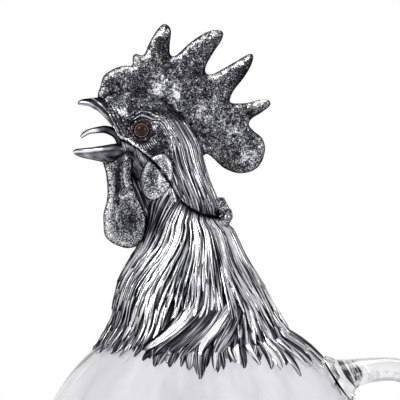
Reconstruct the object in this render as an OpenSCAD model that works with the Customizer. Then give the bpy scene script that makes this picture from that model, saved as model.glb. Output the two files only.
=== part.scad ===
// Globe jug with a rooster's head for its lid, in millimetres
// The beak points along -X, the handle stands along +X and the foot rests on Z = 0

/* [Glass jug] */
// Diameter of the blown globe
globe_d = 171; // [164:1:178]
// Diameter of the ground foot under the globe
foot_d = 82.1; // [76:0.1:88]
// Thickness of the blown wall
glass_t = 3.2; // [2.6:0.1:4.2]
// Thickness of the heavy base
base_t = 8; // [6:0.5:12]
// Outer diameter of the glass neck
neck_d = 52; // [46:1:56]
// Radius of the fillet between the globe and the neck
shoulder_fillet_r = 10; // [8:0.5:13]
// Height of the straight neck above its fillet
neck_h = 8; // [7:0.5:10]

/* [Glass handle] */
// Thickness of the handle's rod
handle_t = 12; // [10:0.5:14]
// Width of the handle's rod across the jug
handle_w = 14; // [11:0.5:17]
// Distance from the globe's surface to the middle of the rod at its widest
handle_out = 41; // [36:1:46]
// Angle above the horizontal at which the handle leaves the globe
handle_high_a = 36; // [33:1:39]
// Angle below the horizontal at which the handle comes back to the globe
handle_low_a = 21; // [16:1:26]
// Depth to which the hot rod melts into the wall
handle_fuse = 2.2; // [1.8:0.1:2.5]

/* [Rooster] */
// Height of the jug's shoulder over the globe's centre, in radii of the globe
shoulder_share = 0.924; // [0.9:0.004:0.948]
// Height of the bird from the shoulder to the top of its comb
bird_h = 150; // [142:1:158]
// Length of the bird from the tip of its beak to the back of its comb
bird_l = 100; // [95:1:106]
// Width of the hackle skirt across the jug
bird_w = 112; // [106:1:118]
// Thickness of the cast wall
cast_t = 1.8; // [1.4:0.1:2.2]
// Drop from the shoulder to the notches between the feather points of the hem
hem_drop = 12; // [9:0.5:14]
// Length of a feather point at the hem
hem_point_l = 6; // [4:0.5:8]
// Number of feather points around the hem
hem_points = 28; // [24:2:32]
// Thickness of the hem where it lies on the glass
hem_t = 1; // [0.8:0.1:1.4]
// Height of the ridge along each row of feathers
feather_ridge_h = 0.9; // [0.4:0.1:1.4]

/* [Comb and face] */
// Thickness of the comb at its root
comb_t = 7; // [5:0.5:9]
// Width over which the comb's edge is rounded
comb_round = 6; // [4:0.5:8]
// Width of the beak at its root
beak_w = 13; // [12:0.5:14]
// Thickness of the lower beak's floor and sides
beak_t = 1.2; // [1:0.1:1.6]
// Width of the tongue
tongue_w = 6; // [5:0.5:7]
// Thickness of a wattle
wattle_t = 4.5; // [3.5:0.5:5.5]
// Length of an ear lobe
lobe_l = 25; // [22:1:28]
// Width of an ear lobe
lobe_w = 16; // [14:1:18]
// Height to which an ear lobe swells from the cheek
lobe_h = 2.4; // [1.6:0.2:3.2]
// Diameter of the glass eye
eye_d = 7.8; // [7:0.2:8.6]

/* [Hinge] */
// Place of the hinge's axis along the bird, in lengths of the bird
hinge_share = 0.118; // [0.116:0.001:0.124]
// Height of the hinge's axis over the seam at the nape
hinge_rise = 1.55; // [1.1:0.05:2]
// Width of the hinge over its five knuckles
hinge_w = 18; // [16:0.5:20]
// Diameter of the knuckles
knuckle_d = 6; // [5.4:0.1:6.2]
// Diameter of the hinge pin
pin_d = 2.4; // [2:0.1:3]
// Diameter of the ball at each end of the pin
pin_ball_d = 4; // [3.6:0.1:5]

/* [Fits] */
// Gap between the metal mount and the glass
seat_gap = 0.2; // [0.1:0.05:0.3]
// Height of the gap between the lid and the neck
seam_gap = 0.6; // [0.5:0.05:0.9]
// Radial play of the lid's knuckles on the pin
pin_play = 0.05; // [0.02:0.01:0.1]
// Gap between neighbouring knuckles
knuckle_gap = 0.35; // [0.3:0.05:0.6]
// Gap around a piece that is set in plaster or pushed into a seat
set_gap = 0.1; // [0.05:0.05:0.2]

/* [Hidden] */

$fn = 64;
silver = "#a7a8aa";
dark_silver = "#77787c";
clear_glass = "#dfe3e6";
plaster = "#e6e1d6";
amber_glass = "#6b3420";

// Glass
globe_r = globe_d / 2;
neck_r = neck_d / 2;
foot_r = foot_d / 2;
globe_z = sqrt(globe_r * globe_r - foot_r * foot_r);
fillet_x = neck_r + shoulder_fillet_r;
fillet_z = globe_z + sqrt(pow(globe_r + shoulder_fillet_r, 2) - fillet_x * fillet_x);
rim_z = fillet_z + neck_h;
arc_steps = 40;
fillet_steps = 8;

// Gap between the casting and the level pieces that fill its neck
slab_gap = 0.7;

// Throat liner, a plate on the glass rim with a tube that dips into the glass neck
liner_t = 2;
liner_tube_t = 1.2;
liner_tube_l = 14;

// Bird on the jug
shoulder_z = globe_z + shoulder_share * globe_r;
hem_z = shoulder_z - hem_drop;

// Overrun of every cut past the face that it opens
cut_over = 1;

// Skin of the bird from hem to crown: height, front, back and half width
skin_shares = [
    [-0.160, -0.600, 0.640, 1.120],
    [-0.103, -0.555, 0.550, 1.000],
    [-0.053, -0.525, 0.470, 0.890],
    [0.013, -0.470, 0.405, 0.785],
    [0.080, -0.450, 0.350, 0.715],
    [0.147, -0.425, 0.290, 0.610],
    [0.213, -0.375, 0.230, 0.520],
    [0.263, -0.330, 0.185, 0.445],
    [0.313, -0.310, 0.140, 0.375],
    [0.347, -0.300, 0.088, 0.330],
    [0.373, -0.300, 0.080, 0.305],
    [0.413, -0.320, 0.065, 0.285],
    [0.480, -0.355, 0.025, 0.275],
    [0.547, -0.400, -0.005, 0.270],
    [0.607, -0.430, -0.025, 0.260],
    [0.680, -0.475, -0.085, 0.230],
    [0.727, -0.500, -0.150, 0.190],
    [0.760, -0.495, -0.215, 0.125],
    [0.787, -0.395, -0.305, 0.030]];
top_row = len(skin_shares) - 1;
skin_columns = 2 * hem_points;
collar_rows = 18;
shell_rows = 12;
halvings = 16;
slope_step = 0.1;

// Seat on the globe, clear of it also in the middle of the casting's flat faces
net_cell = norm([PI * bird_w / skin_columns, 2 * hem_point_l]);
seat_r = globe_r + seat_gap + net_cell * net_cell / (8 * globe_r);

// Seam between lid and neck, seen from the side: place along the bird and height
seam_shares = [
    [-0.455, 0.619], [-0.415, 0.617], [-0.370, 0.609], [-0.315, 0.586], [-0.265, 0.559],
    [-0.220, 0.531], [-0.180, 0.496], [-0.150, 0.464], [-0.120, 0.426], [-0.065, 0.393],
    [-0.025, 0.379], [0.020, 0.367], [0.065, 0.359], [0.115, 0.353]];

// Mouth, where the beak opens into the throat
mouth_a = 24;
mouth_floor_share = 0.545;
mouth_roof_share = 0.690;

// Comb, seen from the side
comb_shares = [
    [-0.525, 0.757], [-0.510, 0.797], [-0.495, 0.827], [-0.455, 0.847], [-0.405, 0.860],
    [-0.355, 0.863], [-0.350, 0.890], [-0.335, 0.900], [-0.295, 0.898], [-0.265, 0.940],
    [-0.225, 0.983], [-0.190, 1.000], [-0.160, 0.980], [-0.165, 0.933], [-0.165, 0.903],
    [-0.150, 0.893], [-0.125, 0.900], [-0.065, 0.937], [0.010, 0.970], [0.070, 0.980],
    [0.100, 0.970], [0.090, 0.943], [0.050, 0.903], [0.015, 0.860], [0.015, 0.837],
    [0.045, 0.833], [0.105, 0.853], [0.175, 0.880], [0.230, 0.900], [0.250, 0.893],
    [0.240, 0.863], [0.205, 0.823], [0.155, 0.780], [0.135, 0.750], [0.145, 0.737],
    [0.215, 0.737], [0.280, 0.747], [0.325, 0.747], [0.335, 0.730], [0.295, 0.707],
    [0.240, 0.683], [0.230, 0.663], [0.255, 0.643], [0.295, 0.620], [0.310, 0.583],
    [0.290, 0.537], [0.245, 0.510], [0.175, 0.503], [0.105, 0.520], [0.055, 0.550],
    [0.020, 0.567], [-0.012, 0.560], [-0.037, 0.607], [-0.100, 0.677], [-0.165, 0.720],
    [-0.230, 0.748], [-0.350, 0.775], [-0.455, 0.760], [-0.490, 0.745]];
// Layers that round the edge of a cast plate: thickness and inset
round_shares = [[0.35, 0], [0.60, 0.14], [0.80, 0.32], [0.92, 0.56], [1, 0.86]];

// Upper beak from the side, and the half widths of its plan and of its arched section
upper_beak_shares = [
    [-0.625, 0.735], [-0.618, 0.744], [-0.600, 0.750], [-0.565, 0.753], [-0.525, 0.755],
    [-0.475, 0.758], [-0.480, 0.733], [-0.470, 0.705], [-0.455, 0.680], [-0.478, 0.682],
    [-0.500, 0.697], [-0.535, 0.717], [-0.580, 0.730], [-0.605, 0.730]];
upper_beak_plan_shares = [
    [-0.625, 0.10], [-0.605, 0.26], [-0.565, 0.50], [-0.525, 0.72], [-0.490, 0.86], [-0.450, 0.90]];
upper_beak_arch_shares = [[1, 0.660], [1, 0.725], [0.80, 0.744], [0.45, 0.755], [0.15, 0.758]];

// Lower beak from the side, the channel cut in it, and the half widths of its plan
lower_beak_shares = [
    [-0.648, 0.578], [-0.635, 0.584], [-0.580, 0.586], [-0.528, 0.589], [-0.485, 0.594],
    [-0.455, 0.598], [-0.420, 0.598], [-0.385, 0.585], [-0.385, 0.545], [-0.425, 0.530],
    [-0.492, 0.538], [-0.560, 0.549], [-0.600, 0.554], [-0.630, 0.562]];
beak_channel_shares = [
    [-0.622, 0.620], [-0.370, 0.620], [-0.370, 0.560], [-0.425, 0.556], [-0.490, 0.554],
    [-0.555, 0.561], [-0.605, 0.570]];
lower_beak_plan_shares = [
    [-0.648, 0.14], [-0.630, 0.40], [-0.600, 0.58], [-0.550, 0.76], [-0.490, 0.92],
    [-0.430, 1], [-0.380, 1]];

// Tongue from the side, which stands on the floor of the lower beak
tongue_shares = [
    [-0.612, 0.627], [-0.605, 0.638], [-0.580, 0.649], [-0.535, 0.658], [-0.485, 0.663],
    [-0.435, 0.654], [-0.402, 0.628], [-0.393, 0.590], [-0.395, 0.558], [-0.425, 0.553],
    [-0.428, 0.590], [-0.445, 0.620], [-0.475, 0.634], [-0.515, 0.637], [-0.550, 0.636],
    [-0.580, 0.630], [-0.600, 0.621]];

// Wattle from the side, whose top is soldered to the cheek
wattle_shares = [
    [-0.497, 0.550], [-0.483, 0.507], [-0.475, 0.450], [-0.480, 0.413], [-0.495, 0.373],
    [-0.495, 0.337], [-0.488, 0.300], [-0.455, 0.277], [-0.410, 0.263], [-0.370, 0.258],
    [-0.325, 0.267], [-0.295, 0.293], [-0.280, 0.337], [-0.290, 0.380], [-0.315, 0.417],
    [-0.340, 0.457], [-0.355, 0.500], [-0.345, 0.537], [-0.340, 0.563], [-0.350, 0.585],
    [-0.380, 0.583], [-0.415, 0.563], [-0.455, 0.547]];
wattle_round = 2.5;
wattle_y = beak_w / 2 + set_gap + wattle_t / 2;

// Ear lobe: its middle on the cheek, its lean, the depth of its solder, and the square of
// the share of the half width at which its rim stands off the throat
lobe_shares = [-0.230, 0.498];
lobe_lean_a = 18;
lobe_solder = 0.6;
cheek_edge = 0.12;
lobe_ring_shares = [0.35, 0.62, 0.82, 0.95, 1];

// Eye in a sleeve whose rim frames it
eye_shares = [-0.305, 0.652];
eye_sink = 1.6;
bezel_t = 0.9;
bezel_rim_r = 0.8;
bezel_l = 3.6;

// Handle from the upper root to the lower one: place along the sweep, distance from
// the globe, width and thickness
handle_shares = [
    [0, 0, 2.65, 2.50], [0.002, 0.05, 2.42, 1.88], [0.008, 0.14, 1.95, 1.32],
    [0.030, 0.28, 1.50, 1.10], [0.057, 0.41, 1.20, 1.02], [0.088, 0.55, 1.05, 1],
    [0.122, 0.67, 1, 1], [0.175, 0.81, 1, 1], [0.244, 0.915, 1, 1], [0.326, 0.98, 1, 1],
    [0.411, 1, 1, 1], [0.498, 0.95, 1, 1], [0.589, 0.85, 1, 1], [0.684, 0.70, 1, 1],
    [0.779, 0.50, 1, 1], [0.865, 0.32, 1.08, 1.02], [0.940, 0.185, 1.26, 1.10],
    [0.982, 0.09, 1.55, 1.32], [0.996, 0.035, 1.90, 1.62], [1, 0, 2.25, 1.95]];
handle_rings = 36;
handle_sides = 16;

// Hinge
hinge_x = bird_l * hinge_share;
hinge_z = seam_height(hinge_x) + hinge_rise;
knuckles = 5;
knuckle_step = hinge_w / knuckles;
knuckle_r = knuckle_d / 2;
// Webs that carry the knuckles, from the pin's axis, in knuckle radii
lid_web_shares = [[0.95, 0.15], [-0.45, 2.80], [-2.20, 2.80], [-2.20, 0.70], [-0.86, 0.50]];
collar_web_shares = [[0.95, -0.15], [-0.10, -2.40], [-2.90, -2.40], [-2.90, -1], [-0.86, -0.50]];

// Smooth curve through the rows of a table, where s counts rows from zero
function blend(a, b, c, d, t) = b + (c - a) * t / 2
    + (2 * a - 5 * b + 4 * c - d) * t * t / 2
    + (3 * b - a - 3 * c + d) * t * t * t / 2;
function along(rows, s) =
    let (n = len(rows), i = max(0, min(floor(s), n - 2)))
    blend(rows[max(i - 1, 0)], rows[i], rows[i + 1], rows[min(i + 2, n - 1)], s - i);

// Place in the side view, from shares of the bird's length and height
function side(p) = [bird_l * p[0], shoulder_z + bird_h * p[1]];
function side_all(list) = [for (p = list) side(p)];

// Point of the bird's skin at an angle around it and a row up it
function skin_at(a, s) =
    let (r = along(skin_shares, s), front = bird_l * r[1], back = bird_l * r[2])
    [(front + back) / 2 + (back - front) / 2 * cos(a),
        bird_w / 2 * r[3] * sin(a),
        shoulder_z + bird_h * r[0]];

// Outward direction of the skin
function skin_out(a, s) =
    let (around = skin_at(a + 1, s) - skin_at(a - 1, s),
        up = skin_at(a, min(top_row, s + slope_step)) - skin_at(a, max(0, s - slope_step)),
        n = cross(around, up))
    n / norm(n);

// Point moved out to a distance from the globe's centre, if it lies nearer
function off_globe(p, r) =
    let (c = [0, 0, globe_z], d = norm(p - c))
    d < r ? c + (p - c) * r / d : p;

// Point of the casting at a depth under the skin, laid on the glass at the hem
function cast_at(a, s, depth) =
    off_globe(skin_at(a, s) - depth * skin_out(a, s),
        seat_r + hem_t * (1 - depth / cast_t));

// Row of the skin at a height
function row_at(z, lo = 0, hi = top_row, n = halvings) =
    let (mid = (lo + hi) / 2)
    n == 0 ? mid
    : skin_at(0, mid).z < z ? row_at(z, mid, hi, n - 1)
    : row_at(z, lo, mid, n - 1);

// Row at which a surface at a depth under the skin reaches a height
function deep_row(a, z, depth, lo = 0, hi = top_row, n = halvings) =
    let (mid = (lo + hi) / 2)
    n == 0 ? mid
    : cast_at(a, mid, depth).z < z ? deep_row(a, z, depth, mid, hi, n - 1)
    : deep_row(a, z, depth, lo, mid, n - 1);

// Height of the seam over a place along the bird
function seam_height(x) = shoulder_z + bird_h * lookup(x / bird_l, seam_shares);

// Row at which the skin crosses the seam, lifted by a height
function seam_row(a, lift, lo = 0, hi = top_row, n = halvings) =
    let (mid = (lo + hi) / 2, p = skin_at(a, mid))
    n == 0 ? mid
    : p.z < seam_height(p.x) + lift ? seam_row(a, lift, mid, hi, n - 1)
    : seam_row(a, lift, lo, mid, n - 1);

// Half width of the bird at a place in the side view
function cheek_y(x, z) =
    let (r = along(skin_shares, row_at(z)),
        middle = bird_l * (r[1] + r[2]) / 2,
        reach = bird_l * (r[2] - r[1]) / 2)
    bird_w / 2 * r[3] * sqrt(max(cheek_edge, 1 - pow((x - middle) / reach, 2)));

// Faces of a sheet of n columns of m points, whose columns close on themselves
function sheet_faces(n, m, joined) = [
    for (i = [0:n - 1])
        for (j = [0:m - (joined ? 1 : 2)])
            let (k = (i + 1) % n, up = (j + 1) % m)
            each [[i * m + j, i * m + up, k * m + up], [i * m + j, k * m + up, k * m + j]]];

// Closed solid from columns of points that run from one pole to the other
module pole_solid(columns, first_pole, last_pole) {
    n = len(columns);
    m = len(columns[0]);
    polyhedron(
        concat([for (c = columns) each c], [first_pole, last_pole]),
        concat(
            sheet_faces(n, m, false),
            [for (i = [0:n - 1]) [n * m, i * m, ((i + 1) % n) * m]],
            [for (i = [0:n - 1]) [i * m + m - 1, n * m + 1, ((i + 1) % n) * m + m - 1]]));
}

// Plate in the side view, extruded across the bird
module side_plate(outline, width) {
    rotate([90, 0, 0])
        translate([0, 0, -width / 2])
            linear_extrude(width)
                polygon(outline);
}

// Plate in the plan view, from half widths along the bird
module plan_plate(shares, half_w, inset = 0) {
    edge = [for (p = shares) [bird_l * p[0], max(inset, half_w * p[1]) - inset]];
    translate([0, 0, shoulder_z])
        linear_extrude(bird_h)
            polygon(concat(edge, [for (i = [len(edge) - 1:-1:0]) [edge[i].x, -edge[i].y]]));
}

// Cast plate in the side view with a rounded edge
module rounded_plate(outline, width, round_w) {
    for (layer = round_shares)
        rotate([90, 0, 0])
            translate([0, 0, -width * layer[0] / 2])
                linear_extrude(width * layer[0])
                    offset(delta = -round_w * layer[1])
                        polygon(outline);
}

// Half space over or under the seam, as a plate across the bird
module seam_side(above) {
    reach = bird_l;
    lift = above ? seam_gap / 2 : -seam_gap / 2;
    edge = [for (p = seam_shares) side(p) + [0, lift]];
    far_z = above ? shoulder_z + bird_h + reach : shoulder_z - reach;
    last = len(edge) - 1;
    side_plate(concat(
        [[-reach, far_z], [-reach, edge[0].y]],
        edge,
        [[reach, edge[last].y], [reach, far_z]]),
        2 * reach);
}

// Level slab of the space inside the bird's neck
module neck_slab(low, high) {
    ring = [for (i = [0:skin_columns - 1])
        let (a = 360 * i / skin_columns)
        [for (z = [low, high])
            let (p = cast_at(a, deep_row(a, z, cast_t + slab_gap), cast_t + slab_gap))
            [p.x, p.y, z]]];
    n = skin_columns;
    polyhedron(
        [for (c = ring) each c],
        concat(
            sheet_faces(n, 2, false),
            [[for (i = [0:n - 1]) 2 * i], [for (i = [n - 1:-1:0]) 2 * i + 1]]));
}

// Globe and neck in half section: wall between an outer and an inner line
module glass_body() {
    high_a = atan2(fillet_x, fillet_z - globe_z);
    floor_r = globe_r - glass_t;
    floor_a = acos((globe_z - base_t) / floor_r);
    foot_a = acos(globe_z / globe_r);
    outer = concat(
        [for (i = [0:arc_steps])
            let (a = foot_a + (180 - high_a - foot_a) * i / arc_steps)
            [globe_r * sin(a), globe_z - globe_r * cos(a)]],
        [for (i = [1:fillet_steps])
            let (a = high_a + (90 - high_a) * i / fillet_steps)
            [fillet_x - shoulder_fillet_r * sin(a), fillet_z - shoulder_fillet_r * cos(a)]]);
    inner = concat(
        [for (i = [fillet_steps:-1:1])
            let (a = high_a + (90 - high_a) * i / fillet_steps, r = shoulder_fillet_r + glass_t)
            [fillet_x - r * sin(a), fillet_z - r * cos(a)]],
        [for (i = [arc_steps:-1:0])
            let (a = floor_a + (180 - high_a - floor_a) * i / arc_steps)
            [floor_r * sin(a), globe_z - floor_r * cos(a)]]);
    rim = [for (i = [0:fillet_steps])
        let (a = 180 * i / fillet_steps)
        [neck_r - glass_t / 2 + glass_t / 2 * cos(a), rim_z - glass_t / 2 + glass_t / 2 * sin(a)]];
    color(clear_glass, 0.4)
        rotate_extrude()
            polygon(concat([[0, 0]], outer, rim, inner, [[0, base_t]]));
}

// Rod of glass drawn out from the shoulder and back to the globe
module glass_handle() {
    stations = [for (k = [0:handle_rings])
        let (r = along(handle_shares, (len(handle_shares) - 1) * k / handle_rings),
            sunk = r[1] <= 0 ? handle_fuse : 0,
            a = handle_high_a - (handle_high_a + handle_low_a) * r[0],
            d = globe_r + handle_out * r[1] - sunk)
        [d * cos(a), globe_z + d * sin(a), handle_w * r[2] / 2, handle_t * r[3] / 2]];
    last = handle_rings;
    columns = [for (i = [0:handle_sides - 1])
        let (a = 360 * i / handle_sides)
        [for (k = [0:last])
            let (c = stations[k],
                p = stations[max(k - 1, 0)],
                q = stations[min(k + 1, last)],
                run = [q[0] - p[0], q[1] - p[1]],
                t = run / norm(run))
            [c[0] + t.y * c[3] * cos(a), c[2] * sin(a), c[1] - t.x * c[3] * cos(a)]]];
    color(clear_glass, 0.4)
        polyhedron(
            [for (c = columns) each c],
            concat(
                sheet_faces(handle_sides, last + 1, false),
                [[for (i = [0:handle_sides - 1]) i * (last + 1)],
                    [for (i = [handle_sides - 1:-1:0]) i * (last + 1) + last]]));
}

// Plaster that fills the space between the glass neck and the casting
module neck_cement() {
    color(plaster)
        difference() {
            neck_slab(fillet_z, rim_z - glass_t / 2);
            cylinder(h = rim_z + cut_over, r = neck_r + set_gap);
        }
}

// Plate over the plaster and the glass rim, with a tube down into the glass neck
module throat_liner() {
    tube_r = neck_r - glass_t - set_gap;
    low = rim_z + set_gap;
    color(silver)
        difference() {
            union() {
                neck_slab(low, low + liner_t);
                translate([0, 0, low - liner_tube_l])
                    cylinder(h = liner_tube_l + liner_t, r = tube_r);
            }
            translate([0, 0, low - liner_tube_l - cut_over])
                cylinder(h = liner_tube_l + liner_t + 2 * cut_over, r = tube_r - liner_tube_t);
        }
}

// Neck of the bird: a hollow casting from the feather points on the glass to the seam
module hackle_collar() {
    columns = [for (i = [0:skin_columns - 1])
        let (a = 360 * i / skin_columns,
            ridge = i % 2 == 0,
            point = ridge ? hem_point_l * (i % 6 == 0 ? 1 : 0.8) : 0,
            low = row_at(hem_z - point),
            seam = seam_row(a, -seam_gap / 2),
            floor_row = row_at(shoulder_z + bird_h * mouth_floor_share),
            high = abs(a - 180) < mouth_a ? min(seam, floor_row) : seam)
        concat(
            [for (j = [0:collar_rows])
                let (t = j / collar_rows)
                cast_at(a, low + (high - low) * t, ridge ? -feather_ridge_h * sin(180 * t) : 0)],
            [for (j = [collar_rows:-1:0])
                cast_at(a, low + (high - low) * j / collar_rows, cast_t)])];
    color(silver)
        polyhedron(
            [for (c = columns) each c],
            sheet_faces(skin_columns, 2 * (collar_rows + 1), true));
}

// Scoop that the jug pours from
module lower_beak() {
    color(silver)
        difference() {
            intersection() {
                side_plate(side_all(lower_beak_shares), beak_w);
                plan_plate(lower_beak_plan_shares, beak_w / 2);
            }
            intersection() {
                side_plate(side_all(beak_channel_shares), beak_w);
                plan_plate(lower_beak_plan_shares, beak_w / 2, beak_t);
            }
        }
}

// Curled tongue
module tongue() {
    color(dark_silver)
        side_plate(side_all(tongue_shares), tongue_w);
}

// Wattle on one side of the chin, where hand is -1 for the left and 1 for the right
module wattle(hand) {
    color(dark_silver)
        translate([0, hand * wattle_y, 0])
            rounded_plate(side_all(wattle_shares), wattle_t, wattle_round);
}

module wattle_left() {
    wattle(-1);
}

module wattle_right() {
    wattle(1);
}

// Whole ear lobe, a swelling that follows the cheek
module ear_lobe(hand) {
    middle = side(lobe_shares);
    lobe_columns = 28;
    columns = [for (i = [0:lobe_columns - 1])
        let (a = 360 * i / lobe_columns)
        concat(
            [for (k = [0:len(lobe_ring_shares) - 1])
                lobe_point(middle, a, lobe_ring_shares[k], -lobe_solder)],
            [for (k = [len(lobe_ring_shares) - 2:-1:0])
                lobe_point(middle, a, lobe_ring_shares[k],
                    lobe_h * sqrt(1 - pow(lobe_ring_shares[k], 2)))])];
    mirror([0, hand > 0 ? 1 : 0, 0])
        pole_solid(columns,
            lobe_point(middle, 0, 0, -lobe_solder),
            lobe_point(middle, 0, 0, lobe_h));
}

// Point of an ear lobe on the left cheek, at an angle and a share of the way out
function lobe_point(middle, a, share, rise) =
    let (u = lobe_w / 2 * share * cos(a),
        v = lobe_l / 2 * share * sin(a),
        x = middle.x + u * cos(lobe_lean_a) + v * sin(lobe_lean_a),
        z = middle.y - u * sin(lobe_lean_a) + v * cos(lobe_lean_a))
    [x, -cheek_y(x, z) - rise, z];

// Part of an ear lobe that one side of the seam carries
module ear_lobe_part(hand, above) {
    color(dark_silver)
        intersection() {
            ear_lobe(hand);
            seam_side(above);
        }
}

module ear_lobe_left() {
    ear_lobe_part(-1, false);
}

module ear_lobe_right() {
    ear_lobe_part(1, false);
}

module ear_lobe_upper_left() {
    ear_lobe_part(-1, true);
}

module ear_lobe_upper_right() {
    ear_lobe_part(1, true);
}

// Knuckles on the pin, every second one from the first, with the webs that carry them
module knuckle_set(first, web_shares, play) {
    translate([hinge_x, 0, hinge_z])
        for (k = [first:2:knuckles - 1])
            translate([0, (k - (knuckles - 1) / 2) * knuckle_step, 0])
                rotate([90, 0, 0])
                    translate([0, 0, -(knuckle_step - knuckle_gap) / 2])
                        difference() {
                            union() {
                                cylinder(h = knuckle_step - knuckle_gap, r = knuckle_r);
                                linear_extrude(knuckle_step - knuckle_gap)
                                    polygon(knuckle_r * web_shares);
                            }
                            translate([0, 0, -cut_over])
                                cylinder(h = knuckle_step + 2 * cut_over, r = pin_d / 2 + play);
                        }
}

module collar_hinge_lugs() {
    color(silver)
        knuckle_set(0, collar_web_shares, pin_play);
}

module lid_hinge_lugs() {
    color(silver)
        knuckle_set(1, lid_web_shares, pin_play);
}

// Pin that reaches to the middle of the ball at each end
module hinge_pin() {
    half = hinge_w / 2 + pin_ball_d / 2;
    color(dark_silver)
        translate([hinge_x, half, hinge_z])
            rotate([90, 0, 0])
                cylinder(h = 2 * half, r = pin_d / 2);
}

// Ball pushed on the end of the pin
module pin_ball(hand) {
    color(silver)
        translate([hinge_x, hand * (hinge_w / 2 + pin_ball_d / 2), hinge_z])
            rotate([hand * 90, 0, 0])
                difference() {
                    sphere(r = pin_ball_d / 2);
                    cylinder(h = pin_ball_d, r = pin_d / 2 + pin_play / 2);
                }
}

module pin_ball_left() {
    pin_ball(-1);
}

module pin_ball_right() {
    pin_ball(1);
}

// Cranium and cheeks of the lid: a hollow casting from the seam to the crown
module head_shell() {
    last_ring = top_row - 0.25;
    roof_row = row_at(shoulder_z + bird_h * mouth_roof_share);
    columns = [for (i = [0:skin_columns - 1])
        let (a = 360 * i / skin_columns,
            seam = seam_row(a, seam_gap / 2),
            low = abs(a - 180) < mouth_a ? roof_row : seam)
        concat(
            [for (j = [shell_rows:-1:0])
                cast_at(a, low + (last_ring - low) * j / shell_rows, cast_t)],
            [for (j = [0:shell_rows])
                cast_at(a, low + (last_ring - low) * j / shell_rows, 0)])];
    crown = skin_at(0, top_row) * 0.5 + skin_at(180, top_row) * 0.5;
    color(silver)
        difference() {
            pole_solid(columns, crown - [0, 0, cast_t], crown);
            eye_place(-1)
                cylinder(h = 2 * bezel_l, r = eye_d / 2 + set_gap + bezel_t + set_gap, center = true);
            eye_place(1)
                cylinder(h = 2 * bezel_l, r = eye_d / 2 + set_gap + bezel_t + set_gap, center = true);
        }
}

// Places its children at an eye, with their Z pointing out of the cheek
module eye_place(hand) {
    at = side(eye_shares);
    translate([at.x, hand * cheek_y(at.x, at.y), at.y])
        rotate([-hand * 90, 0, 0])
            children();
}

module eye_ball(hand) {
    color(amber_glass)
        eye_place(hand)
            translate([0, 0, -eye_sink])
                sphere(d = eye_d);
}

module eye_left() {
    eye_ball(-1);
}

module eye_right() {
    eye_ball(1);
}

// Sleeve around the eye with a rolled rim outside the cheek
module eye_bezel(hand) {
    inner_r = eye_d / 2 + set_gap;
    color(silver)
        eye_place(hand)
            rotate_extrude() {
                translate([inner_r, bezel_rim_r - bezel_l])
                    square([bezel_t, bezel_l]);
                translate([inner_r + bezel_rim_r, bezel_rim_r])
                    circle(r = bezel_rim_r, $fn = 24);
            }
}

module eye_bezel_left() {
    eye_bezel(-1);
}

module eye_bezel_right() {
    eye_bezel(1);
}

// Comb on the crown and down the back of the head
module comb() {
    color(dark_silver)
        rounded_plate(side_all(comb_shares), comb_t, comb_round);
}

// Hooked upper half of the beak
module upper_beak() {
    arch = [for (p = upper_beak_arch_shares) [beak_w / 2 * p[0], shoulder_z + bird_h * p[1]]];
    color(silver)
        intersection() {
            side_plate(side_all(upper_beak_shares), beak_w);
            plan_plate(upper_beak_plan_shares, beak_w / 2);
            translate([-bird_l, 0, 0])
                rotate([90, 0, 90])
                    linear_extrude(bird_l)
                        polygon(concat(arch,
                            [for (i = [len(arch) - 1:-1:0]) [-arch[i].x, arch[i].y]]));
        }
}

glass_body();
glass_handle();
neck_cement();
throat_liner();
hackle_collar();
lower_beak();
tongue();
wattle_left();
wattle_right();
ear_lobe_left();
ear_lobe_right();
collar_hinge_lugs();
hinge_pin();
pin_ball_left();
pin_ball_right();
head_shell();
comb();
upper_beak();
eye_left();
eye_right();
eye_bezel_left();
eye_bezel_right();
ear_lobe_upper_left();
ear_lobe_upper_right();
lid_hinge_lugs();
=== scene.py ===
import math

import bpy
import numpy as np
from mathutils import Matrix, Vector


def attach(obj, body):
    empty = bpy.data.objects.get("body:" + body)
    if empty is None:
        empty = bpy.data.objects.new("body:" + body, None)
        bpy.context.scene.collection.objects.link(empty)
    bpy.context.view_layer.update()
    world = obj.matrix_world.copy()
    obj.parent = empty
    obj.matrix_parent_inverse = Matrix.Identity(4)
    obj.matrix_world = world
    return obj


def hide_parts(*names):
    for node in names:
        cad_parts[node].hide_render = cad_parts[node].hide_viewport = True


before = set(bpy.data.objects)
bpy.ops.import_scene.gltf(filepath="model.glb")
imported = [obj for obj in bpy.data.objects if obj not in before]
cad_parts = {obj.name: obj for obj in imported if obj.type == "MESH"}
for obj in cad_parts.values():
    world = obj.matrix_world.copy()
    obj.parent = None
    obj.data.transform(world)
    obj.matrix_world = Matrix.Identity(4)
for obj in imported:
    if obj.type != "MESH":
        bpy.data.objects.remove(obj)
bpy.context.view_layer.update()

# Sizes in millimetres and angles in degrees, as the part's source names them
GLOBE_R, GLOBE_Z, GLASS_T, BASE_T, FOOT_R = 85.5, 75.0, 3.2, 8.0, 41.05
NECK_R, FILLET_R, NECK_H = 26.0, 10.0, 8.0
HANDLE_T, HANDLE_W, HANDLE_OUT, HANDLE_HIGH_A, HANDLE_LOW_A = 12.0, 14.0, 41.0, 36.0, 21.0
SHOULDER_Z, BIRD_H, BIRD_L, BIRD_W, CAST_T = 154.0, 150.0, 100.0, 112.0, 1.8
SEAM_GAP = 0.6
MOUTH_A, MOUTH_FLOOR_SHARE, MOUTH_ROOF_SHARE = 24.0, 0.545, 0.690
COMB_T, BEAK_W, BEAK_T, TONGUE_W, WATTLE_T, WATTLE_Y = 7.0, 13.0, 1.2, 6.0, 4.5, 8.85
LOBE_L, LOBE_W, LOBE_H, LOBE_LEAN_A, LOBE_SOLDER, CHEEK_EDGE = 25.0, 16.0, 2.4, 18.0, 0.6, 0.12
EYE_D, EYE_SINK = 7.8, 1.6

# Sizes of the looks alone: how far the neck's skin lies under the solid's, so that the feathers
# on it end at the solid's
SUNK = 2.2
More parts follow.
